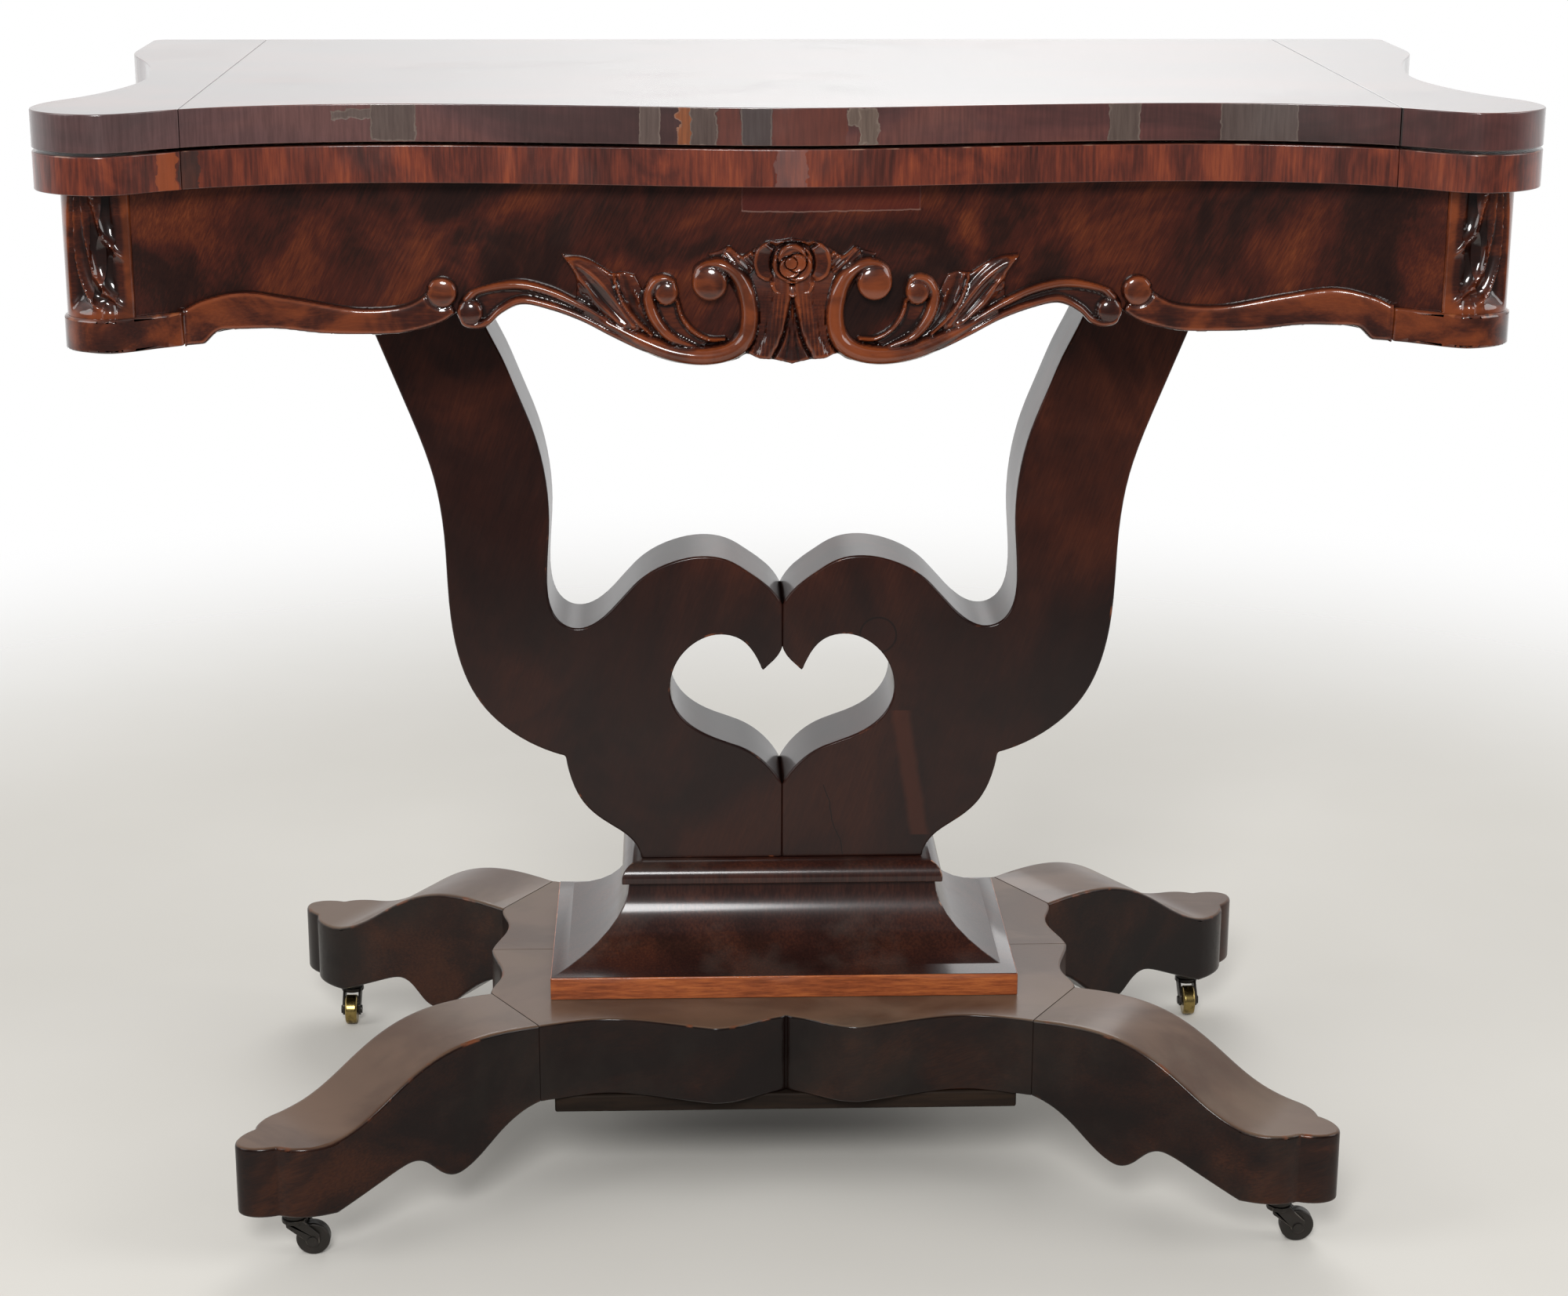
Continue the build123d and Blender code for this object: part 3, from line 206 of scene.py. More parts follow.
def makeCrackGroup():
    # a hair line that wanders from one place to another
    inputs = {"Along": 0.0, "Across": 0.0, "Start": 0.0, "End": 1.0, "At Start": 0.0, "At End": 0.0, "Width": 0.0004,
              "Wander": 0.001}
    tree, given, out = startGroup("hairCrack", inputs, ["Crack"])
    share = band(tree, given["Along"], given["Start"], given["End"])
    straight = addNode(tree, "ShaderNodeMapRange", {
        "Value": given["Along"], "From Min": given["Start"], "From Max": given["End"], "To Min": given["At Start"],
        "To Max": given["At End"]}).outputs[0]
    line = noise(tree, None, effects["wanderSize"], "1D", W=given["Along"], Detail=4.0)
    centre = calc(tree, "ADD", straight, times(tree, minus(tree, line, 0.5), given["Wander"]))
    thin = calc(tree, "DIVIDE", unsigned(tree, minus(tree, given["Across"], centre)), given["Width"])
    first, last = effects["crackEnds"]
    within = times(tree, calc(tree, "GREATER_THAN", share, first), calc(tree, "LESS_THAN", share, last))
    feed(tree, out["Crack"], times(tree, band(tree, thin, *effects["crackSides"]), within))
    return tree


grainGroup = makeGrainGroup()
hazeGroup = makeHazeGroup()
wearGroup = makeWearGroup()
patchGroup = makePatchGroup()
crackGroup = makeCrackGroup()
print("shared effects made")


# ---- wood finishes

def startMaterial(name, varnish=0.0, varnishRoughness=0.08, underGloss=0.5):
    material = bpy.data.materials.new(name)
    material.use_nodes = True
    tree = material.node_tree
    shader = tree.nodes["Principled BSDF"]
    for key, value in (("Coat Weight", varnish), ("Coat Roughness", varnishRoughness), ("IOR", 1.5),
                       ("Specular IOR Level", underGloss)):
        shader.inputs[key].default_value = value
    return material, tree, shader, addNode(tree, "ShaderNodeTexCoord").outputs


def finishSurface(tree, shader, colour, roughness, height, strength, distance=0.0006):
    bump = addNode(tree, "ShaderNodeBump", {"Strength": strength, "Distance": distance, "Height": height})
    for key, value in (("Base Color", colour), ("Roughness", roughness), ("Normal", bump.outputs["Normal"])):
        feed(tree, shader.inputs[key], value)


woodValues = {   # turn is in degrees about Y
    "varnish": 0.55, "varnishRoughness": 0.09, "underGloss": 0.12, "roughness": 0.34,
    "figureSize": 9.0, "figurePull": 1.6, "lineSize": 60.0, "lineShare": 0.25, "turn": 0,
    "haze": 0.3, "hazeSize": 14.0, "hazeRough": 0.3, "dust": 0.25, "dustColour": "#8d8479",
    "dustLies": (0.2, 0.7, 0.15, 1.0), "wear": 0.35, "breakSize": 70.0, "rubTop": None, "rubUpAndHighlight": (0.1, 0.5),
    "pores": 0.3, "poreColour": "#120806", "poreDepth": 0.12, "ripple": 0.35, "bump": 0.15,
}


def turnedGrain(tree, spot, turn, figureSize, figurePull, lineSize, seed):
    turned = addNode(tree, "ShaderNodeMapping", {"Vector": spot, "Rotation": (0, math.radians(turn), 0)}).outputs[0]
    return place(tree, grainGroup, {"Vector": turned, "Figure Size": figureSize, "Figure Pull": figurePull,
                                    "Line Size": lineSize, "Seed": seed})


def varnishedWood(name, **changes):
    # sockets are left open, so that a piece's own marks can be laid over the wood
    values = {**woodValues, **changes}
    gloss = (values[key] for key in ("varnish", "varnishRoughness", "underGloss"))
    material, tree, shader, where = startMaterial(name, *gloss)
    spot, share = where["Object"], values["lineShare"]
    sizes = (values[key] for key in ("figureSize", "figurePull", "lineSize", "seed"))
    grain = turnedGrain(tree, spot, values["turn"], *sizes)
    haze = place(tree, hazeGroup, {"Vector": spot, "Patch Size": values["hazeSize"], "Amount": values["haze"]})
    wear = place(tree, wearGroup, {"Vector": spot, "Amount": values["wear"], "Break Size": values["breakSize"]})
    mixed = calc(tree, "ADD", times(tree, grain["Figure"], 1 - share), times(tree, grain["Lines"], share))
    pores = times(tree, grain["Pores"], values["pores"])
    colour = blend(tree, pores, colourSteps(tree, mixed, values["steps"]), values["poreColour"])
    return {"material": material, "tree": tree, "shader": shader, "spot": spot, "at": axes(tree, spot),
            "facing": axes(tree, where["Normal"]), "grain": grain, "haze": haze, "wear": wear["Wear"], "colour": colour,
            "values": values}


def closeWood(wood, extraHeight=None):
    tree, values, up, dull = wood["tree"], wood["values"], wood["facing"][2], wood["haze"]["Haze"]
    rubbed = wood["wear"]
    # wear and painted highlight: rubbed edges are kept mostly to edges facing up, a pale line that stands partly for
    # the highlight along them
    if values["rubTop"]:
        rubbed = times(tree, rubbed, band(tree, up, *values["rubUpAndHighlight"], 1 - values["rubTop"], 1.0))
    colour = blend(tree, rubbed, wood["colour"], values["wearColour"])
    dust = times(tree, dull, values["dust"], band(tree, up, *values["dustLies"]))
    colour = blend(tree, dust, colour, values["dustColour"])
    rough = calc(tree, "ADD", values["roughness"], times(tree, dull, values["hazeRough"]))
    ripple = times(tree, wood["haze"]["Ripple"], values["ripple"])
    height = minus(tree, ripple, times(tree, wood["grain"]["Pores"], values["poreDepth"]))
    if extraHeight is not None:
        height = calc(tree, "ADD", height, extraHeight)
    finishSurface(tree, wood["shader"], colour, rough, height, values["bump"])
    return wood["material"]


def patch(wood, box, rag):
    sides = dict(zip(("Left", "Right", "Bottom", "Top"), box))
    return place(wood["tree"], patchGroup, {"Vector": wood["spot"], **sides, "Rag": rag})


def hairLine(wood, along, across, line):
    # line: start, end, how far across it is at each, width and wander
    sizes = dict(zip(("Start", "End", "At Start", "At End", "Width", "Wander"), line))
    return place(wood["tree"], crackGroup, {"Along": along, "Across": across, **sizes})["Crack"]


leafSteps = [(0.0, "#2a1310"), (0.4, "#43201a"), (0.7, "#5c2d20"), (1.0, "#713c28")]
leafSides = {"upright": (0.45, 0.75, 1.0, 0.0), "front": (-0.35, -0.15, 1.0, 0.0), "edgeTurn": 90}


def edgeMasks(wood):
    # where a surface stands upright, and where it looks to the front
    tree, facing = wood["tree"], wood["facing"]
    side = band(tree, unsigned(tree, facing[2]), *leafSides["upright"])
    return side, band(tree, facing[1], *leafSides["front"])


upperLeaf = {
    "edgeSteps": [(0.0, "#301a18"), (0.45, "#442523"), (0.8, "#512c29"), (1.0, "#5d332c")],
    "patches": [   # box (left, right, bottom, top), colour and raggedness of each bare place on the front edge
        ((-0.279, -0.254, 0.747, 0.7528), "#574842", 0.0012), ((-0.256, -0.2284, 0.7335, 0.7565), "#50413b", 0.0008),
        ((-0.0931, -0.0803, 0.7325, 0.7565), "#53443e", 0.0006), ((-0.07, -0.0592, 0.7325, 0.7565), "#7c4422", 0.0016),
        ((-0.0625, -0.0459, 0.7325, 0.7565), "#4c3d37", 0.001), ((-0.0317, -0.0129, 0.7325, 0.7565), "#413634", 0.0006),
        ((0.0318, 0.04, 0.744, 0.7565), "#5f4f45", 0.0014), ((0.0392, 0.0511, 0.733, 0.7565), "#5f4f45", 0.0014),
        ((0.1934, 0.2127, 0.7325, 0.7565), "#51433c", 0.0008), ((0.2619, 0.3089, 0.7325, 0.7565), "#4b3d38", 0.0006),
    ],
    "outline": ("#85766a", 0.3),
    "redder": [(-0.0459, -0.0317, 0.7325, 0.7565), (-0.0129, 0.0318, 0.7325, 0.7565)],
    "redderColour": ("#5e2a1c", 0.7), "redderRag": 0.001, "left": (0.0, -0.42, 0.0, 0.45), "leftColour": "#5f4a4a",
    "edgeGrain": (26.0, 3.0, 40.0, 4.0), "lines": ("#23100e", 0.4),
    "crack": (-0.24, 0.24, 0.3672, 0.3672, 0.0011, 0.0016), "crackColour": "#1a0d08", "sunk": -1.6,
}


def makeUpperLeafWood():
    wood = varnishedWood("upperLeafVeneer", seed=3.0, figureSize=5.0, figurePull=4.0, lineShare=0.4, haze=0.35,
                         hazeSize=6.0, varnish=1.0, varnishRoughness=0.12, underGloss=0.5, wearColour="#7a5a48",
                         wear=0.2, dust=0.15, rubTop=0.9, steps=leafSteps)
    tree, at = wood["tree"], wood["at"]
    side, front = edgeMasks(wood)
    edge = colourSteps(tree, wood["grain"]["Figure"], upperLeaf["edgeSteps"])
    cross = turnedGrain(tree, wood["spot"], leafSides["edgeTurn"], *upperLeaf["edgeGrain"])
    code, share = upperLeaf["redderColour"]
    for box in upperLeaf["redder"]:
        redder = patch(wood, box, upperLeaf["redderRag"])["Inside"]
        edge = blend(tree, times(tree, redder, front, share), edge, code)
    edge = blend(tree, band(tree, at[0], *upperLeaf["left"]), edge, upperLeaf["leftColour"])
    bare = []
    rimCode, rimShare = upperLeaf["outline"]
    for box, code, rag in upperLeaf["patches"]:
        spot = patch(wood, box, rag)
        bare.append(times(tree, spot["Inside"], front))
        edge = blend(tree, bare[-1], edge, code)
        edge = blend(tree, times(tree, spot["Outline"], front, rimShare), edge, rimCode)
    code, share = upperLeaf["lines"]
    edge = blend(tree, times(tree, cross["Lines"], share), edge, code)
    crack = hairLine(wood, at[1], at[0], upperLeaf["crack"])
    wood["colour"] = blend(tree, crack, blend(tree, side, wood["colour"], edge), upperLeaf["crackColour"])
    return closeWood(wood, times(tree, calc(tree, "MAXIMUM", *bare, crack), upperLeaf["sunk"]))


lowerLeaf = {
    "edgeGrain": (16.0, 2.0, 34.0, 9.0), "lineShare": 0.45, "rag": 0.0014,
    "edgeSteps": [(0.0, "#2e130e"), (0.35, "#4a1f16"), (0.65, "#632a1a"), (1.0, "#7d3a20")],
    "patches": [((-0.3800, -0.3690, 0.70, 0.74), "#8a421c", 0.6), ((-0.3680, -0.3570, 0.70, 0.74), "#2a1f1c", 0.75),
                ((-0.0105, 0.0084, 0.70, 0.74), "#6c5451", 0.4)],
}


def makeLowerLeafWood():
    wood = varnishedWood("lowerLeafVeneer", seed=7.0, figureSize=6.0, figurePull=4.0, lineShare=0.4, varnish=0.9,
                         varnishRoughness=0.1, underGloss=0.3, wear=0.4, wearColour="#84604f", haze=0.25, rubTop=0.95,
                         steps=leafSteps)
    tree, share = wood["tree"], lowerLeaf["lineShare"]
    side, front = edgeMasks(wood)
    cross = turnedGrain(tree, wood["spot"], leafSides["edgeTurn"], *lowerLeaf["edgeGrain"])
    mixed = calc(tree, "ADD", times(tree, cross["Figure"], 1 - share), times(tree, cross["Lines"], share))
    edge = colourSteps(tree, mixed, lowerLeaf["edgeSteps"])
    for box, code, share in lowerLeaf["patches"]:
        inside = patch(wood, box, lowerLeaf["rag"])["Inside"]
        edge = blend(tree, times(tree, inside, front, share), edge, code)
    wood["colour"] = blend(tree, side, wood["colour"], edge)
    return closeWood(wood)


repair = {   # the piece let into the apron's front
    "box": (-0.0314, 0.0795, 0.6904, 0.7090), "rag": 0.0003, "colour": "#4a1b17", "share": 0.55, "outline": "#8d7468",
    "outlineBand": (0.6925, 0.6912, 0.08, 0.32), "front": (-0.10, -0.05, 1.0, 0.0), "sunk": -0.8,
}


apronSteps = [(0.0, "#150807"), (0.35, "#24100b"), (0.62, "#3a170f"), (0.85, "#502312"), (1.0, "#643018")]


def makeApronWood():
    wood = varnishedWood("apronVeneer", seed=11.0, figureSize=10.5, figurePull=1.35, varnish=0.6, varnishRoughness=0.07,
                         wear=0.3, wearColour="#7c4727", turn=62, haze=0.1, bump=0.2, steps=apronSteps)
    tree, at = wood["tree"], wood["at"]
    spot, front = patch(wood, repair["box"], repair["rag"]), band(tree, at[1], *repair["front"])
    inside, outline = (times(tree, spot[name], front) for name in ("Inside", "Outline"))
    colour = blend(tree, times(tree, inside, repair["share"]), wood["colour"], repair["colour"])
    pale = times(tree, outline, band(tree, at[2], *repair["outlineBand"]))
    wood["colour"] = blend(tree, pale, colour, repair["outline"])
    return closeWood(wood, times(tree, outline, repair["sunk"]))


carvedShadeAndHighlight = {   # painted shade, dark, in the hollows; painted highlight, redder, on what stands out
    "byFigure": 0.2, "hollow": (0.42, 0.12, 0.0, 1.0), "hollowShadeShare": 0.88, "hollowShadeColour": "#150806",
    "ridge": (0.62, 0.95), "ridgeHighlightShare": (0.1, 0.9, 0.5, 0.8), "ridgeHighlightColour": "#763819",
}


def makeCarvedWood():
    wood = varnishedWood("carvedMahogany", seed=17.0, figureSize=22.0, lineShare=0.35, varnish=1.0,
                         varnishRoughness=0.06, wear=0.4, haze=0.1, breakSize=90.0, wearColour="#7d4323",
                         steps=[(0.0, "#200c08"), (0.4, "#33140c"), (0.75, "#4b2011"), (1.0, "#5d2c16")])
    tree, figure, marks = wood["tree"], wood["grain"]["Figure"], carvedShadeAndHighlight
    uneven = times(tree, minus(tree, figure, 0.5), marks["byFigure"])
    # painted shade and painted highlight: the raised attribute darkens the hollows and reddens the ridges
    raised = calc(tree, "ADD", attribute(tree, "raised"), uneven)
    hollow, ridge = band(tree, raised, *marks["hollow"]), band(tree, raised, *marks["ridge"])
    colour = blend(tree, times(tree, hollow, marks["hollowShadeShare"]), wood["colour"], marks["hollowShadeColour"])
    ridgeHighlightShare = band(tree, figure, *marks["ridgeHighlightShare"])
    wood["colour"] = blend(tree, times(tree, ridge, ridgeHighlightShare), colour, marks["ridgeHighlightColour"])
    return closeWood(wood)


lyreMarks = {
    "low": (0.48, 0.38, 0.0, 0.7), "lowColour": "#110706",
    "plug": (0.0657, 0.3770), "plugRadius": 0.0125, "plugEdge": 0.001, "plugColour": "#25100c", "plugShare": 0.45,
    "ring": (0.0003, 0.0009, 1.0, 0.0),
    "streak": (0.2307, 0.3231, 0.0965, 0.0815, 0.0085, 0.002), "streakColour": "#5c2c1a", "streakShare": 0.22,
    "crack": (0.2166, 0.2690, 0.0428, 0.0287, 0.0005, 0.004), "crackColour": "#0d0504", "crackShare": 0.9,
    "sunk": -0.8,
    "steps": [(0.0, "#180907"), (0.35, "#26100b"), (0.65, "#36170e"), (0.9, "#472012"), (1.0, "#512614")],
}


def makeLyreWood():
    marks = lyreMarks
    wood = varnishedWood("lyreMahogany", seed=23.0, figureSize=6.5, figurePull=1.5, lineShare=0.2, turn=70,
                         varnish=0.4, varnishRoughness=0.1, haze=0.08, wear=0.3, wearColour="#6d3b22",
                         steps=marks["steps"])
    tree, at, radius = wood["tree"], wood["at"], marks["plugRadius"]
    colour = blend(tree, band(tree, at[2], *marks["low"]), wood["colour"], marks["lowColour"])
    off = [minus(tree, at[axis], middle) for axis, middle in zip((0, 2), marks["plug"])]
    away = calc(tree, "SQRT", calc(tree, "ADD", *(times(tree, d, d) for d in off)), None)
    ring = band(tree, unsigned(tree, minus(tree, away, radius)), *marks["ring"])
    plug = band(tree, away, radius - marks["plugEdge"], radius, 1.0, 0.0)
    colour = blend(tree, times(tree, plug, marks["plugShare"]), colour, marks["plugColour"])
    streak = hairLine(wood, at[2], at[0], marks["streak"])
    colour = blend(tree, times(tree, streak, marks["streakShare"]), colour, marks["streakColour"])
    crack = hairLine(wood, at[2], at[0], marks["crack"])
    lines = calc(tree, "MAXIMUM", crack, times(tree, ring, marks["crackShare"]))
    wood["colour"] = blend(tree, times(tree, lines, marks["crackShare"]), colour, marks["crackColour"])
    return closeWood(wood, times(tree, lines, marks["sunk"]))


baseToneAndSheen = {   # painted sheen: what lies flat is painted paler, in patches
    "inwards": (0.2, 0.17, 0.0, 0.45), "inwardsColour": "#0d0605",
    "lying": (0.45, 0.95), "patchy": (0.1, 0.9, 0.62, 0.34), "lyingSheenColour": "#765c4a",
}


def makeBaseWood():
    wood = varnishedWood("baseMahogany", seed=37.0, figureSize=7.5, figurePull=1.5, turn=18, varnish=0.3,
                         underGloss=0.08, varnishRoughness=0.12, haze=0.35, hazeSize=9.0, wear=0.4,
                         wearColour="#633823", dust=0.45, dustColour="#7d7364", rubTop=0.9,
                         steps=[(0.0, "#0a0403"), (0.35, "#130705"), (0.65, "#210e07"), (1.0, "#381b0c")])
    tree = wood["tree"]
    inwards = band(tree, unsigned(tree, wood["at"][0]), *baseToneAndSheen["inwards"])
    colour = blend(tree, inwards, wood["colour"], baseToneAndSheen["inwardsColour"])
    # painted sheen: surfaces that face up are painted paler in patches, standing in for their reflection
    lying = band(tree, wood["facing"][2], *baseToneAndSheen["lying"])
    patchy = band(tree, wood["grain"]["Figure"], *baseToneAndSheen["patchy"])
    wood["colour"] = blend(tree, times(tree, lying, patchy), colour, baseToneAndSheen["lyingSheenColour"])
    return closeWood(wood)


pine = {
    "seed": 41.0, "figureSize": 5.0, "figurePull": 7.0, "lineShare": 0.5, "lineSize": 28.0, "varnish": 0.0,
    "roughness": 0.62, "haze": 0.5, "wear": 0.3, "wearColour": "#a98a62", "pores": 0.15, "poreColour": "#4a341f",
    "dust": 0.5, "dustColour": "#8a7c68", "ripple": 0.1,
    "steps": [(0.0, "#6d4a2b"), (0.4, "#86603a"), (0.75, "#9c7447"), (1.0, "#ad8656")],
}
plainWoods = {   # finishes without marks of their own: the material's name and its values
    "plinth": ("plinthVeneer", {
        "seed": 29.0, "figureSize": 7.0, "figurePull": 2.0, "lineShare": 0.45, "lineSize": 45.0, "turn": 90,
        "varnish": 0.6, "varnishRoughness": 0.14, "haze": 0.2, "wear": 0.4, "wearColour": "#96705a",
        "steps": [(0.0, "#190d0b"), (0.45, "#281511"), (0.8, "#381d15"), (1.0, "#482518")]}),
    "band": ("bandMahogany", {
        "seed": 31.0, "figureSize": 12.0, "figurePull": 9.0, "lineShare": 0.55, "varnish": 0.6, "haze": 0.15,
        "wear": 0.4, "wearColour": "#b56a3a",
        "steps": [(0.0, "#61301a"), (0.4, "#844425"), (0.75, "#9c562d"), (1.0, "#ae6436")]}),
    "pine": ("innerPine", pine),
    # painted shadow: the board under the platform is painted near black so that it reads as the platform's shadow on
    # the floor
    "shadowDarkPine": ("paintedShadowPine", {
        **pine, "steps": [(0.0, "#150f0b"), (0.5, "#1f1610"), (1.0, "#2a1e15")], "dustColour": "#2c251e",
        "wearColour": "#3a2a1c", "poreColour": "#0a0705"}),
}


# ---- metal finishes

metalLooks = {"breakSize": 150.0, "hazeRough": 0.3, "ripple": 0.5, "bump": 0.3, "distance": 0.0003}
metals = {
    "hingeBrass": {"bright": "#a8894a", "dull": "#6a5226", "rubbed": "#cdb271", "roughness": 0.28, "metal": 1.0,
                   "metalLess": 0.3, "spotSize": 60.0, "wear": 0.6},
    "darkIron": {"bright": "#33302d", "dull": "#241d18", "rubbed": "#5b554e", "roughness": 0.42, "metal": 0.75,
                 "metalLess": 0.5, "spotSize": 90.0, "wear": 0.5},
    "wheelBrass": {"bright": "#9c8752", "dull": "#5c4b26", "rubbed": "#c4b07a", "roughness": 0.25, "metal": 1.0,
                   "metalLess": 0.25, "spotSize": 110.0, "wear": 0.7},
    "screwSteel": {"bright": "#7b766f", "dull": "#4a4037", "rubbed": "#a19b92", "roughness": 0.35, "metal": 0.95,
                   "metalLess": 0.4, "spotSize": 200.0, "wear": 0.5},
}


def agedMetal(name, values):
    material, tree, shader, where = startMaterial(name)
    spot, looks = where["Object"], metalLooks
    haze = place(tree, hazeGroup, {"Vector": spot, "Patch Size": values["spotSize"], "Amount": 1.0})
    wear = place(tree, wearGroup, {"Vector": spot, "Amount": values["wear"], "Break Size": looks["breakSize"]})
    colour = blend(tree, haze["Haze"], values["bright"], values["dull"])
    colour = blend(tree, wear["Wear"], colour, values["rubbed"])
    rough = calc(tree, "ADD", values["roughness"], times(tree, haze["Haze"], looks["hazeRough"]))
    feed(tree, shader.inputs["Metallic"], minus(tree, values["metal"], times(tree, haze["Haze"], values["metalLess"])))
    height = times(tree, haze["Ripple"], looks["ripple"])
    finishSurface(tree, shader, colour, rough, height, looks["bump"], looks["distance"])
    return material


finishes = {
    "upperLeaf": makeUpperLeafWood(), "lowerLeaf": makeLowerLeafWood(), "apron": makeApronWood(),
    "carved": makeCarvedWood(), "lyre": makeLyreWood(), "base": makeBaseWood(),
    **{key: closeWood(varnishedWood(name, **values)) for key, (name, values) in plainWoods.items()},
    **{name: agedMetal(name, values) for name, values in metals.items()},
}
print("finishes made: %d" % len(finishes))


# ---- dressed pieces: a CAD node's form with rounded, rubbed edges

def looseMesh(node, merge=2e-5, sliver=1e-6, flat=0.06):
    # a node's triangles joined again, its flat faces whole
    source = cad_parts[node].data
    mesh = bpy.data.meshes.new("rough")
    mesh.from_pydata([v.co[:] for v in source.vertices], [], [p.vertices[:] for p in source.polygons])
    work = bmesh.new()
    work.from_mesh(mesh)
    bpy.data.meshes.remove(mesh)
    bmesh.ops.remove_doubles(work, verts=work.verts, dist=merge)
    bmesh.ops.dissolve_degenerate(work, edges=work.edges, dist=sliver)
    bmesh.ops.dissolve_limit(work, angle_limit=math.radians(flat), verts=work.verts, edges=work.edges)
    return work


def flatten(piece):
    # modifiers become the mesh, so that attributes can be laid on it
    shown = bpy.context.evaluated_depsgraph_get()
    mesh = bpy.data.meshes.new_from_object(piece.evaluated_get(shown), preserve_all_data_layers=True, depsgraph=shown)
    old = piece.data
    piece.modifiers.clear()
    piece.data = mesh
    bpy.data.meshes.remove(old)


def newPiece(name, mesh, finish):
    piece = bpy.data.objects.new(name, mesh)
    bpy.context.scene.collection.objects.link(piece)
    mesh.materials.clear()
    mesh.materials.append(finishes[finish])
    return piece


def settle(piece, body, nodes):
    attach(piece, body)
    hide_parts(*nodes)


def layRaised(mesh, values):
    mesh.attributes.new("raised", "FLOAT", "POINT").data.foreach_set("value", np.asarray(values, np.float32))


joints = {   # where boards meet, in metres, and the share of the rounding that their edges keep
    "leaf": 0.367, "leafNear": 0.0004, "leafShare": 0.4, "leg": (0.85125, 0.52474, 0.21426), "baseInner": 0.235,
    "baseShare": 0.3, "upright": 0.02, "long": 0.03, "unrubbed": 0.0018,
}


def leafEdgeShare(edge):
    atJoint = all(abs(abs(v.co.x) - joints["leaf"]) < joints["leafNear"] for v in edge.verts)
    return joints["leafShare"] if atJoint else 1.0


def baseEdgeShare(edge):
    # edges of boards against the legs and against each other stay nearly sharp
    upright = abs(edge.verts[0].co.z - edge.verts[1].co.z) > joints["upright"]
    inside = all(abs(v.co.x) < joints["baseInner"] for v in edge.verts)
    return joints["baseShare"] if inside and (upright or edge.calc_length() > joints["long"]) else 1.0


def fullShare(edge):
    return 1.0


def isSharp(edge, angle):
    return len(edge.link_faces) == 2 and edge.calc_face_angle(0) > math.radians(angle)


def clearUnderRounding(work, angle, reach, turns=3):
    # points in a nearly flat wall that lie so close to a sharp edge that its rounding would fold over them
    for turn in range(turns):
        sharp = {edge for edge in work.edges if isSharp(edge, angle)}
        close = []
        for vert in work.verts:
            if any(edge in sharp for edge in vert.link_edges):
                continue
            for edge in {edge for face in vert.link_faces for edge in face.edges if edge in sharp}:
                start, along = edge.verts[0].co, edge.verts[1].co - edge.verts[0].co
                share = max(0.0, min(1.0, (vert.co - start).dot(along) / max(along.length_squared, 1e-12)))
                if (vert.co - start - along * share).length < reach:
                    close.append(vert)
                    break
        if not close:
            break
        bmesh.ops.dissolve_verts(work, verts=close)


def layEdge(mesh, finish):
    # the rounding's faces are rubbed, but not where boards meet
    onEdge = np.zeros(len(mesh.polygons), np.int32)
    mesh.polygons.foreach_get("material_index", onEdge)
    centres = np.empty(len(mesh.polygons) * 3)
    mesh.polygons.foreach_get("center", centres)
    x, y, _ = np.abs(centres.reshape(-1, 3)).T
    legX, legY, legAt = joints["leg"]
    for off in (x, x - joints["leaf"], *([y, x * legX + y * legY - legAt] if finish == "base" else [])):
        onEdge[np.abs(off) < joints["unrubbed"]] = 0
    mesh.attributes.new("edge", "FLOAT", "FACE").data.foreach_set("value", (onEdge > 0).astype(np.float32))
    mesh.polygons.foreach_set("material_index", np.zeros(len(mesh.polygons), np.int32))
    mesh.materials.pop(index=1)


def dress(node, finish, width, segments=3, angle=32, shareOf=fullShare, clear=1.4, raised=0.74):
    work = looseMesh(node)
    if node.endswith("_leaf_board"):
        clearUnderRounding(work, angle, width / 1000 * clear)
    share = work.edges.layers.float.new("bevel_weight_edge")
    for edge in work.edges:
        if isSharp(edge, angle):
            edge[share] = shareOf(edge)
    mesh = bpy.data.meshes.new("dressed_" + node)
    work.to_mesh(mesh)
    work.free()
    piece = newPiece("dressed_" + node, mesh, finish)
    mesh.materials.append(finishes[finish])
    mesh.shade_smooth()
    bevel = piece.modifiers.new("rounding", "BEVEL")
    for key, value in (("limit_method", "WEIGHT"), ("width", width / 1000), ("segments", segments),
                       ("use_clamp_overlap", False), ("material", 1), ("miter_outer", "MITER_ARC")):
        setattr(bevel, key, value)
    piece.modifiers.new("facing", "WEIGHTED_NORMAL").keep_sharp = True
    flatten(piece)
    layEdge(piece.data, finish)
    if finish == "carved":
        layRaised(piece.data, np.full(len(piece.data.vertices), raised))
    return piece


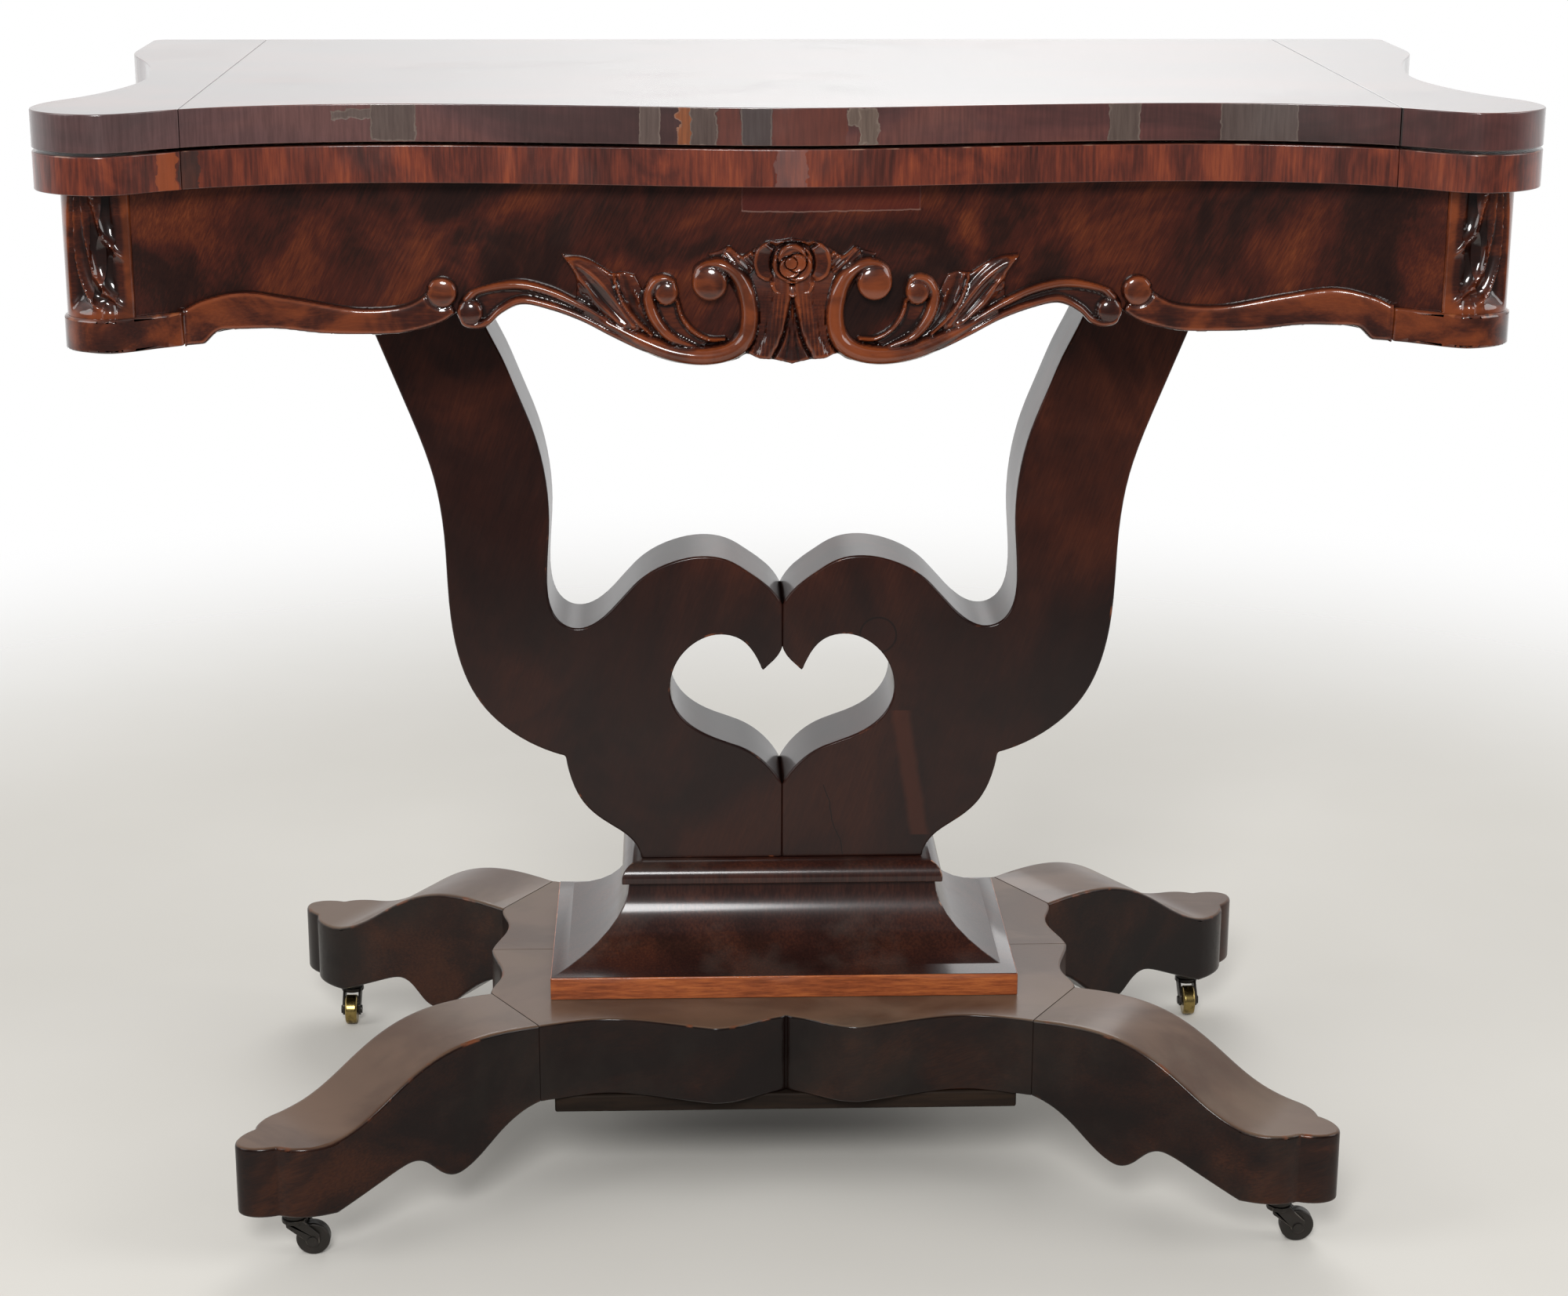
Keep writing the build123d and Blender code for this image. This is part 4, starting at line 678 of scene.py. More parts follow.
dressing = [   # nodes, finish, rounding in mm, body, slot
    (["upper_leaf_board", "upper_leaf_left_end", "upper_leaf_right_end"], "upperLeaf", 0.75,
     "upper_leaf", "upper_leaf_veneer"),
    (["lower_leaf_board", "lower_leaf_left_end", "lower_leaf_right_end"], "lowerLeaf", 0.75,
     "lower_leaf", "lower_leaf_veneer"),
    (["front_apron", "end_aprons", "back_rail"], "apron", 1.0, "base", "apron_veneer"),
    (["back_posts"], "apron", 1.5, "base", "apron_veneer"),
    (["base_blocks", "end_beads"], "carved", 2.2, "base", "carved_mahogany"),
    (["lyre_left", "lyre_right"], "lyre", 1.6, "base", "lyre_mahogany"),
    (["lyre_cap"], "plinth", 0.8, "base", "lyre_mahogany"),
    (["plinth"], "plinth", 0.8, "base", "base_mahogany"),
    (["plinth_band"], "band", 0.9, "base", "base_mahogany"),
    (["platform_front", "platform_back"], "base", 1.8, "base", "base_mahogany"),
    # painted shadow: the under-board's near-black finish
    (["platform_under_board"], "shadowDarkPine", 1.5, "base", "inner_pine"),
    (["leg_front_left", "leg_front_right", "leg_back_left", "leg_back_right"], "base", 2.4, "base", "base_mahogany"),
]
for nodes, finish, width, body, slot in dressing:
    for node in nodes:
        shareOf = leafEdgeShare if "_leaf_" in node else baseEdgeShare if finish == "base" else fullShare
        settle(dress(node, finish, width, shareOf=shareOf), body, [node])
print("dressed pieces: %d" % sum(len(row[0]) for row in dressing))

corners = ("front_left", "front_right", "back_left", "back_right")
casterRounding = {"fork": 0.5, "wheel": 0.35, "segments": 2, "angle": 40}
for corner in corners:
    rim, rimSlot = ("darkIron", "dark_iron") if corner.startswith("front") else ("wheelBrass", "wheel_brass")
    for part, body, finish, slot in (("fork", "caster_", "darkIron", "dark_iron"), ("wheel", "wheel_", rim, rimSlot)):
        node = "caster_%s_%s" % (part, corner)
        piece = dress(node, finish, casterRounding[part], casterRounding["segments"], casterRounding["angle"])
        settle(piece, body + corner, [node])

carried = {   # CAD nodes that stay, under their finish
    "pine": ["well_bottom", "well_partition", "pivot_rail", "cross_bearers", "glue_blocks"],
    "darkIron": ["pivot_plate", "pivot_bolt", "pivot_washer", "pivot_nut", "caster_plates",
                 *("caster_axle_" + corner for corner in corners)],
    "hingeBrass": ["lower_hinge_plates", "upper_hinge_plates", "hinge_pins"],
}
for finish, nodes in carried.items():
    for node in nodes:
        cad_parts[node].data.materials.clear()
        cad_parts[node].data.materials.append(finishes[finish])
print("carried CAD nodes: %d" % sum(map(len, carried.values())))


# ---- carving: a height above the apron's face, cut out along an outline (sizes in mm)

def unit(value):
    return np.clip(value, 0, 1)


def dome(off):
    return np.sqrt(unit(1 - off ** 2))


def swell(far, width):
    return np.exp(-(far / width) ** 2)


def smoothLine(points, step=1.2):
    # a curve that runs through the points
    points = np.array(points, float)
    ends = np.vstack([2 * points[0] - points[1], points, 2 * points[-1] - points[-2]])
    out = []
    for i in range(len(points) - 1):
        a, b, c, d = ends[i:i + 4]
        count = max(2, int(np.linalg.norm(c - b) / step))
        t = np.linspace(0, 1, count, endpoint=False)[:, None]
        bend, twist = 2 * a - 5 * b + 4 * c - d, 3 * b - a - 3 * c + d
        out.append(0.5 * (2 * b + (c - a) * t + bend * t ** 2 + twist * t ** 3))
    return np.vstack(out + [points[-1:]])


def nearest(line, x, z):
    # distance to a line and how far along it, 0 to 1
    best, share = np.full(x.shape, 1e9), np.zeros(x.shape)
    steps = np.linalg.norm(np.diff(line, axis=0), axis=1)
    total = max(steps.sum(), 1e-9)
    gone = 0.0
    for (ax, az), (bx, bz), length in zip(line[:-1], line[1:], steps):
        if length < 1e-9:
            continue
        t = unit(((x - ax) * (bx - ax) + (z - az) * (bz - az)) / length ** 2)
        far = np.hypot(x - ax - t * (bx - ax), z - az - t * (bz - az))
        closer = far < best
        best = np.where(closer, far, best)
        share = np.where(closer, (gone + t * length) / total, share)
        gone += length
    return best, share


def inOutline(outline, x, z):
    # distance to a closed outline, positive inside
    closed = np.vstack([outline, outline[:1]])
    within = np.zeros(x.shape, bool)
    for (ax, az), (bx, bz) in zip(closed[:-1], closed[1:]):
        if az != bz:
            within ^= ((az > z) != (bz > z)) & (x < (bx - ax) * (z - az) / (bz - az) + ax)
    far, _ = nearest(closed, x, z)
    return np.where(within, far, -far)


def evenly(values, share):
    return np.interp(share, np.linspace(0, 1, len(values)), values)


def roll(line, halfWidths, heights, power, x, z):
    far, share = nearest(line, x, z)
    return evenly(heights, share) * unit(1 - (far / evenly(halfWidths, share)) ** 2) ** power


def knob(centre, radius, low, high, x, z):
    far = np.hypot(x - centre[0], z - centre[1])
    return np.where(far < radius, low + (high - low) * dome(far / radius), 0)


def frontEdge(node, top, clear):
    # the front outline of a node's upper edge, as a table of y over x
    points = np.array([v.co[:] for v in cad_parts[node].data.vertices])
    line = points[(points[:, 2] > top) & (points[:, 1] < clear)]
    line = line[np.argsort(line[:, 0])]
    return line[:, 0] * 1000, line[:, 1] * 1000


faceX, faceY = frontEdge("front_apron", 0.7077 - 1e-5, -0.1500)


def cutOut(x, z, inside, near):
    # triangles of a grid clipped along inside = 0; places nearer than near are moved onto it
    points, triangles, made = [], [], {}
    inside = np.where(np.abs(inside) < near, 1e-6, inside)
    rows, columns = x.shape

    def corner(at):
        if at not in made:
            made[at] = len(points)
            points.append((x[at], z[at]))
        return made[at]

    def between(a, b):
        key = (a, b) if a < b else (b, a)
        if key not in made:
            low, high = key
            t = inside[low] / (inside[low] - inside[high])
            made[key] = len(points)
            points.append((x[low] + t * (x[high] - x[low]), z[low] + t * (z[high] - z[low])))
        return made[key]

    for i in range(rows - 1):
        for j in range(columns - 1):
            if inside[i:i + 2, j:j + 2].max() <= 0:
                continue
            for three in (((i, j), (i, j + 1), (i + 1, j + 1)), ((i, j), (i + 1, j + 1), (i + 1, j))):
                ring = []
                for a, b in zip(three, three[1:] + three[:1]):
                    if inside[a] > 0:
                        ring.append(corner(a))
                    if (inside[a] > 0) != (inside[b] > 0):
                        ring.append(between(a, b))
                if ring:
                    triangles.append(ring)
    return np.array(points), triangles


def closedMesh(name, points, faces, sharp, merge=None):
    mesh = bpy.data.meshes.new(name)
    mesh.from_pydata((points / 1000).tolist(), [], faces)
    work = bmesh.new()
    work.from_mesh(mesh)
    if merge:
        bmesh.ops.remove_doubles(work, verts=work.verts, dist=merge)
    bmesh.ops.recalc_face_normals(work, faces=work.faces)
    work.to_mesh(mesh)
    work.free()
    mesh.shade_smooth()
    mesh.set_sharp_from_angle(angle=math.radians(sharp))
    return mesh


relief = {   # the raised attribute: painted shade where a place lies deeper than its surroundings, painted highlight where it stands out
    "around": [(2.2, 0), (-2.2, 0), (0, 2.2), (0, -2.2), (1.6, 1.6), (-1.6, 1.6), (1.6, -1.6), (-1.6, -1.6)],
    "standing": 0.42, "level": 5.5, "byLevel": 0.045, "near": 0.12, "tuck": 0.5, "sharp": 58, "merge": 1e-6,
}


def carve(name, span, rise, insideAt, heightAt, step, lift=0.0):
    # span and rise are the area; insideAt gives the outline, heightAt how far a place stands off the face
    ways = (np.arange(low, high + step, step) for low, high in (span, rise))
    x, z = np.meshgrid(*ways, indexing="ij")
    points, faces = cutOut(x, z, insideAt(x, z), relief["near"] * step)
    px, pz = points.T
    face, count = np.interp(px, faceX, faceY), len(points)
    front = np.column_stack([px, face - heightAt(px, pz), pz])
    back = np.column_stack([px, face + relief["tuck"], pz])
    rims = dict.fromkeys((a, b) for ring in faces for a, b in zip(ring, ring[1:] + ring[:1]))
    walls = [(b, a, a + count, b + count) for a, b in rims if (b, a) not in rims]
    behind = [[i + count for i in reversed(ring)] for ring in faces]
    mesh = closedMesh(name, np.vstack([front, back]), faces + behind + walls, relief["sharp"], relief["merge"])
    x, _, z = np.array([v.co[:] for v in mesh.vertices]).T * 1000
    # raised: low in hollows for painted shade, high on what stands out or lies far off the face for painted highlight;
    # lift lightens a whole piece
    here = heightAt(x, z)
    beside = sum(heightAt(x + dx, z + dz) for dx, dz in relief["around"]) / len(relief["around"])
    standing, level = (here - beside) * relief["standing"], (here - relief["level"]) * relief["byLevel"]
    layRaised(mesh, unit(0.5 + lift + standing + level))
    return newPiece(name, mesh, "carved")


# ---- crest: scrolls, leaves and fan; the right half is given and mirrored

crestShape = {
    "step": 0.85,
    "under": [(0, 597), (10, 599.3), (21, 600.5), (28, 603), (36, 598.8), (55, 595.6), (75, 598.5), (92, 603),
              (111, 611.5), (130, 621), (150, 628), (167, 631), (180, 625), (188, 617.5), (196, 615), (204, 617),
              (207, 624)],
    "upper": [(207, 631), (203, 637), (196, 641.5), (171, 647.3), (150, 643.5), (133, 636)],
    "leafRim": [(133, 636), (134, 650), (142, 663), (127, 661), (111, 652), (104, 652.5), (97, 651)],
    "eye": [(97, 651), (92, 641), (88, 627), (78, 613.5), (63, 606.5), (47, 607), (37, 613.5), (32, 626), (35, 640),
            (43, 653), (52, 665)],
    "top": [(52, 665), (44, 667.5), (38.5, 670), (31, 665), (24, 668.5), (13, 673), (0, 675)],
    "lines": {
        "under": None,
        "bigScroll": [(60, 650), (58, 655.5), (51, 659), (42, 658.2), (33.5, 652), (28, 641), (26.2, 626),
                      (29.5, 612.5), (40, 604.4), (56, 601.4), (75, 603.6), (94, 610.6), (112, 619.5), (128, 627)],
        "smallScroll": [(71.5, 643), (74, 648.2), (79.5, 649.6), (85.5, 646), (88.4, 637), (84.5, 624), (75, 612.8),
                        (60, 606.5)],
        "strip": [(201, 634), (193, 640.5), (171, 644), (150, 640), (130, 631), (110, 619.5), (96, 612)],
        "innerArm": [(71, 636), (68, 626), (61, 617), (51, 612), (42, 612)],
        "flute": [(103, 651), (100, 640), (95.5, 629), (87, 617.5), (75, 609.5)],
        "leafEdge": [(110, 652), (108, 643), (104, 633), (97, 623.5), (87, 614)],
        "leafBack": [(142, 663), (130, 648.5), (119, 633), (104, 619.5)],
        "leafRib": [(140, 662), (122, 650), (108, 634), (98, 620)],
    },
    "rolls": {   # half widths and heights along each line, and how round it is
        "leafEdge": ((1.0, 2.0, 2.2, 1.6), (7.2, 8.2, 8.0, 6.6), 0.6),
        "strip": ((3.6, 3.8, 3.6, 3.0, 1.6), (7.0, 8.0, 7.6, 7.2, 5.6), 0.5),
        "smallScroll": ((1.6, 3.8, 4.4, 4.4, 3.8, 2.2), (8.0, 9.2, 9.4, 9.0, 8.4, 6.2), 0.5),
        "innerArm": ((1.6, 2.4, 2.4, 1.6), (6.4, 7.4, 7.0, 6.0), 0.6),
        "bigScroll": ((2.0, 5.0, 6.4, 6.6, 6.6, 6.4, 6.0, 4.2, 2.4),
                      (8.6, 10.6, 11.0, 11.0, 10.8, 10.4, 9.6, 7.8, 5.8), 0.5),
    },
    "knobs": [   # centre, radius in the outline, radius, low and high
        ((50.8, 647.4), 11.3, 11.6, 7.6, 11.8), ((77.8, 641.0), 8.0, 8.0, 6.6, 10.0),
        ((199.5, 626.0), 8.2, 8.2, 4.0, 8.2)],
    "arms": {"bigScroll": (2.0, 5.0, 6.2, 6.2, 6.2, 6.2, 5.6, 5.0), "smallScroll": (1.6, 3.8, 4.3, 4.3, 4.1),
             "innerArm": (2.0, 2.3, 2.0)},
    "fanEdge": ([597, 604, 611, 626, 642, 655, 661], [32, 27, 22.6, 19.6, 22.4, 29.5, 36]),
    "fanReach": ([597, 602, 608, 615, 625, 638], [13.2, 11.6, 8.2, 5.4, 3.0, 0.4]),
    "stripUnder": ([96, 110, 130, 150], [612, 620, 633, 652]),
}
crestLevels = {   # heights off the apron's face, with the widths and places they belong to
    "ground": 3.4, "wingFrom": 60, "wingUp": (0, 3.0), "wing": ((3.4, 3.4), (6.6, 6.6), 0.6),
    "blade": (94, 145, 614, 13), "bladeLevel": 4.6, "rib": (3.2, 3.0), "veins": (0.22, 1.7, 3), "back": (2.8, 2.2),
    "flute": (72, 112, 5.0), "fluteLevels": (2.6, 4.4), "ray": (4.6, 1.3, 1.5), "rayFoot": (606, 9, 1.2),
    "lobe": (6.0, 2.6, 12, 0.7), "lobeLines": (0.3, 2.6, 0.25, 644, 8), "groove": (2.0, 1.1),
    "fanFalls": (4, 640, 22, 1.5), "tip": (33, 9.5, 661, 9), "tipClear": (1.1, 651), "tipLevels": (5.4, 2.6, 0.5, 1.6),
    "border": (2.2, 1.7),
}
rim = crestShape["leafRim"]
right = np.vstack([smoothLine(crestShape["under"], 1.5), smoothLine(crestShape["upper"], 1.5),
                   *(smoothLine(part, 2) for part in (rim[:3], rim[2:5], rim[4:])),
                   smoothLine(crestShape["eye"], 1.5), smoothLine(crestShape["top"], 1.5)])
crestEdge = np.vstack([right, right[::-1] * (-1, 1)])
crestLines = {key: smoothLine(points or crestShape[key]) for key, points in crestShape["lines"].items()}
# the hollow between the small scroll's stem and its inner arm
stem = crestLines["smallScroll"][::-1]
crestChannel = np.vstack([crestLines["innerArm"], stem[:int(len(stem) * 0.62)]])


def crestInside(x, z):
    # the cut's outline with the scrolls and knobs that stand into its openings
    x = np.abs(x)
    inside = np.maximum(inOutline(crestEdge, x, z), inOutline(crestChannel, x, z))
    for key, halves in crestShape["arms"].items():
        far, share = nearest(crestLines[key], x, z)
        inside = np.maximum(inside, evenly(halves, share) - far)
    for (cx, cz), radius, *_ in crestShape["knobs"]:
        inside = np.maximum(inside, radius - np.hypot(x - cx, z - cz))
    return inside


def crestHeight(x, z):
    look = crestLevels
    x = np.abs(x)
    # lower roll along the bottom of the wings
    lower = roll(crestLines["under"] + look["wingUp"], *look["wing"], x, z)
    height = np.maximum(look["ground"], np.where(x > look["wingFrom"], lower, 0))
    # leaf: two hollow halves beside a rib, with fine veins
    farRib, farBack, farFlute = (nearest(crestLines[key], x, z)[0] for key in ("leafRib", "leafBack", "flute"))
    left, right, bottom, wide = look["blade"]
    blade = (x > left) & (x < right) & (z > bottom) & (farRib < wide)
    blade &= z - np.interp(x, *crestShape["stripUnder"]) > 0
    (rib, ribWidth), (back, backWidth), (vein, often, fade) = look["rib"], look["back"], look["veins"]
    onBlade = (look["bladeLevel"] + rib * swell(farRib, ribWidth)
               + vein * np.cos(farRib * often) * unit(farRib / fade) + back * swell(farBack, backWidth))
    height = np.maximum(height, np.where(blade, onBlade, 0))
    # flute between the leaf and the small scroll
    (left, right, wide), (deep, rise) = look["flute"], look["fluteLevels"]
    inFlute = (farFlute < wide) & (x > left) & (x < right)
    height = np.where(inFlute, np.minimum(height, deep + rise * unit(farFlute / wide) ** 2), height)
    for key, (halves, heights, power) in crestShape["rolls"].items():
        height = np.maximum(height, roll(crestLines[key], halves, heights, power, x, z))
    for centre, _, *sizes in crestShape["knobs"]:
        height = np.maximum(height, knob(centre, *sizes, x, z))
    # fan and the two lobes beside it
    inner = x < np.interp(z, *crestShape["fanEdge"])
    reach = np.interp(z, *crestShape["fanReach"])
    across = x / reach
    (level, wave, often), (foot, run, rise) = look["ray"], look["rayFoot"]
    ray = level + wave * np.abs(np.cos(across * math.pi * often)) + unit((foot - z) / run) * rise
    (level, rise, wide, power), (line, often, slant, end, run) = look["lobe"], look["lobeLines"]
    lobe = (level + rise * np.sin(unit((x - reach) / wide) * math.pi) ** power
            + line * np.cos(x * often + z * slant) * unit((end - z) / run))
    (groove, wide), (fall, start, run, power) = look["groove"], look["fanFalls"]
    middle = np.where(across < 1, ray, lobe) - groove * swell(x - reach, wide)
    height = np.maximum(height, np.where(inner, middle - fall * unit((z - start) / run) ** power, 0))
    # small leaves beside the rose
    (tipX, wide, tipZ, tall), (clear, bottom) = look["tip"], look["tipClear"]
    tip = np.hypot((x - tipX) / wide, (z - tipZ) / tall)
    level, rise, line, often = look["tipLevels"]
    leaf = level + rise * unit(1 - tip) + line * np.cos((x - z) * often)
    height = np.maximum(height, np.where((tip < clear) & (z > bottom), leaf, 0))
    # edges of the cut roll over
    low, wide = look["border"]
    return low + (height - low) * dome(1 - unit(crestInside(x, z) / wide))


crest = carve("carved_crest", (-209, 209), (594, 676), crestInside, crestHeight, crestShape["step"])
settle(crest, "base", ["crest_carving"])
print("crest: %d faces" % len(crest.data.polygons))


# ---- beads, each ending in a knob

beadShape = {
    "step": 0.9,
    "low": [(208, 625.3), (218, 619), (239, 613), (259, 611.8), (290, 613), (318, 617), (341, 618), (350, 618.2),
            (354, 617), (357.5, 613.8), (360.5, 610.9), (363, 610.4), (367, 610.4), (372, 610.4)],
    "high": [(372, 633.5), (360, 638.5), (338, 642), (309, 636.8), (271, 629.2), (244, 630), (230, 635.5), (225, 641)],
    "knob": (216.6, 638.3), "knobSize": 10.0, "curl": (18, 232, 26),
    # heights off the apron's face, with their widths
    "level": 4.6, "rise": (1.9, 5.5), "fall": (1.2, 8, 14), "knobRise": (9.6, 5.2, 8.4), "groove": (1.1, 9.9, 0.9),
    "grooveEnds": (236, 640), "border": (1.6, 1.8), "blockAt": 371.2, "blockShare": 9.0,
}
(knobX, knobZ), turn = beadShape["knob"], np.radians(np.linspace(*beadShape["curl"]))
curl = np.column_stack([knobX + beadShape["knobSize"] * np.cos(turn), knobZ + beadShape["knobSize"] * np.sin(turn)])
beadTop = smoothLine(beadShape["high"], 1.5)
beadEdge = np.vstack([smoothLine(beadShape["low"], 1.5), beadTop, curl])
beadRim = np.vstack([beadEdge, beadEdge[:1]])


def beadInside(x, z):
    return inOutline(beadEdge, np.abs(x), z)


def beadHeight(x, z):
    x = np.abs(x)
    far, farTop = (nearest(line, x, z)[0] for line in (beadRim, beadTop))
    (rise, wide), (fall, start, run) = beadShape["rise"], beadShape["fall"]
    height = beadShape["level"] + rise * dome(1 - unit(farTop / wide)) - fall * unit((farTop - start) / run)
    height = np.maximum(height, knob(beadShape["knob"], *beadShape["knobRise"], x, z))
    # a groove round the knob
    (deep, radius, wide), (endX, endZ) = beadShape["groove"], beadShape["grooveEnds"]
    ring = np.hypot(x - knobX, z - knobZ)
    height = height - deep * swell(ring - radius, wide) * (x < endX) * (z < endZ)
    # edges roll over, but not where the bead meets the corner block
    low, wide = beadShape["border"]
    far = np.where(x > beadShape["blockAt"], beadShape["blockShare"], far)
    return low + (height - low) * dome(1 - unit(far / wide))


for name, span in (("right", (206, 372)), ("left", (-372, -206))):
    bead = carve("carved_bead_" + name, span, (609, 650), beadInside, beadHeight, beadShape["step"], lift=0.15)
    settle(bead, "base", ["front_beads"])
print("beads carved")


# ---- rose: petals wound round a bud

rose = {
    "centre": (0.0, 660.3), "step": 0.45, "bud": 12.6, "top": 674.8,
    # each fold of the bud: turned, off the middle, radius
    "folds": [(200, 3.4, 9.4), (330, 3.6, 9.0), (95, 3.8, 8.6), (230, 2.6, 6.6), (20, 2.8, 5.6), (140, 1.4, 3.6)],
    # reach of the outer petals, by the angle from the side
    "angles": [-90, -78, -60, -40, -20, 0, 20, 38, 55, 75, 90],
    "reach": [21.6, 20.0, 22.0, 18.8, 23.4, 24.4, 24.0, 21.0, 16.0, 13.8, 13.5],
    "creases": [-78, -40, 40], "crease": (2.4, 5.0),
    # heights off the apron's face: the petals' cup from where it starts, and the bud's folds
    "cupFrom": 11, "cup": (5.2, 4.2, 1.6), "lip": (3.2, 0.86), "budDome": (8.4, 2.4, 13.4),
    "fold": (9.3, 0.8, 2.0), "foldRim": (0.8, 0.86, 0.1), "foldTop": 14.8, "foldGroove": (1.3, 1.05, 0.08),
    "groove": (2.0, 0.4, 0.8),
}


def rosePolar(x, z):
    # distance from the middle, angle from the side, reach of the petals there
    x, z = np.abs(x), z - rose["centre"][1]
    angle = np.degrees(np.arctan2(z, x))
    return np.hypot(x, z), angle, np.interp(angle, rose["angles"], rose["reach"])


def roseInside(x, z):
    far, _, reach = rosePolar(x, z)
    return np.minimum(reach - far, rose["top"] - z)


def roseHeight(x, z):
    far, angle, reach = rosePolar(x, z)
    start, (low, rise, power), (fall, lip) = rose["cupFrom"], rose["cup"], rose["lip"]
    out = unit((far - start) / (reach - start))
    cup = low + rise * out ** power - fall * unit((out - lip) / (1 - lip)) ** 2
    deep, wide = rose["crease"]
    for crease in rose["creases"]:
        cup = cup - deep * swell(angle - crease, wide) * unit(out * 2)
    # the bud: petals folded one over the next, each nearer the middle
    low, rise, wide = rose["budDome"]
    bud = low + rise * dome(far / wide)
    (low, each, rise), (rim, rimAt, rimWidth) = rose["fold"], rose["foldRim"]
    deep, outside, wide = rose["foldGroove"]
    for k, (turn, offset, size) in enumerate(rose["folds"]):
        px, pz = offset * math.cos(math.radians(turn)), offset * math.sin(math.radians(turn))
        off = np.hypot(x - px, z - rose["centre"][1] - pz) / size
        petal = low + each * k + rise * dome(off) + rim * swell(off - rimAt, rimWidth)
        bud = np.where(off < 1, np.minimum(petal, rose["foldTop"]), bud - deep * swell(off - outside, wide))
    deep, clear, wide = rose["groove"]
    return np.where(far < rose["bud"], bud, cup) - deep * swell(far - rose["bud"] - clear, wide)


bloom = carve("carved_rose", (-26, 26), (634, 675.4), roseInside, roseHeight, rose["step"])
settle(bloom, "base", ["crest_rose"])
print("rose: %d faces" % len(bloom.data.polygons))


# ---- front posts: hollows that wind down towards the apron

postShape = {
    "depth": 6.4, "halfWidth": 6.0, "columns": 120, "rows": 100, "scrapes": 14, "crisp": 0.6, "sharp": 62,
    # the hollows fade out towards the outer arris, the apron and the foot: clear of it by, and over
    "edge": 3.0, "apron": (2.4, 9.0), "foot": (1.5, 12.0),
    # arrises between the hollows: distance from the apron round the post, and height
    "ridges": [
        [(4.2, 709), (3.2, 690), (2.4, 668), (2.0, 630)],
        [(25.0, 709), (23.4, 700), (20.2, 686), (15.4, 678), (9.8, 672), (3.4, 666)],
        [(31.5, 709), (31.2, 694), (28.8, 674), (25.0, 659), (18.2, 648), (9.8, 640.5), (1.0, 634)],
        [(36.0, 709), (38.0, 690), (38.4, 674), (36.6, 661), (32.4, 649), (26.0, 639.5), (14.0, 631)],
        [(40.5, 709), (43.6, 694), (45.2, 676), (45.6, 655), (45.4, 630)],
    ],
}


def postOutline(near=0.05, straight=30, least=0.2):
    # the post's inner corner, its outer outline, and its lowest and highest place
    points = np.array([v.co[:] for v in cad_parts["corner_post_front_right"].data.vertices]) * 1000
    low, high = points[:, 2].min(), points[:, 2].max()
    top = points[points[:, 2] > high - 0.01][:, :2]
    inner = np.array([top[:, 0].min(), top[:, 1].max()])
    outer = top[(top[:, 0] > inner[0] + near) | (top[:, 1] < inner[1] - near)]
    outer = outer[(np.abs(outer[:, 0] - inner[0]) > near) | (outer[:, 1] < inner[1] - straight)]
    outer = outer[np.argsort(np.arctan2(outer[:, 1] - inner[1], outer[:, 0] - inner[0]))]
    keep = [0]
    for i in range(1, len(outer)):
        if np.linalg.norm(outer[i] - outer[keep[-1]]) > least:
            keep.append(i)
    return inner, outer[keep], low, high


def postDepth(s, z, total, low):
    # how deep the hollows are; their bottoms are scraped smooth, the arrises stay crisp
    fromEnd = np.minimum(s, total - s)
    away = np.min([nearest(smoothLine(ridge, 1.0), fromEnd, z)[0] for ridge in postShape["ridges"]], axis=0)
    depth = postShape["depth"] * np.sin(unit(away / postShape["halfWidth"]) * math.pi / 2)
    smooth = depth
    for turn in range(postShape["scrapes"]):
        padded = np.pad(smooth, 1, mode="edge")
        smooth = (padded[:-2, 1:-1] + padded[2:, 1:-1] + padded[1:-1, :-2] + padded[1:-1, 2:] + smooth) / 5
    crisp = unit(away / (postShape["crisp"] * postShape["halfWidth"])) ** 2
    depth = depth * (1 - crisp) + smooth * crisp
    margin = np.interp(z, *zip(*sorted((height, across) for across, height in postShape["ridges"][-1])))
    (apron, apronRun), (foot, footRun) = postShape["apron"], postShape["foot"]
    for room, run in ((margin - fromEnd, postShape["edge"]), (fromEnd - apron, apronRun), (z - low - foot, footRun)):
        share = unit(room / run)
        depth = depth * share * share * (3 - 2 * share)
    return depth


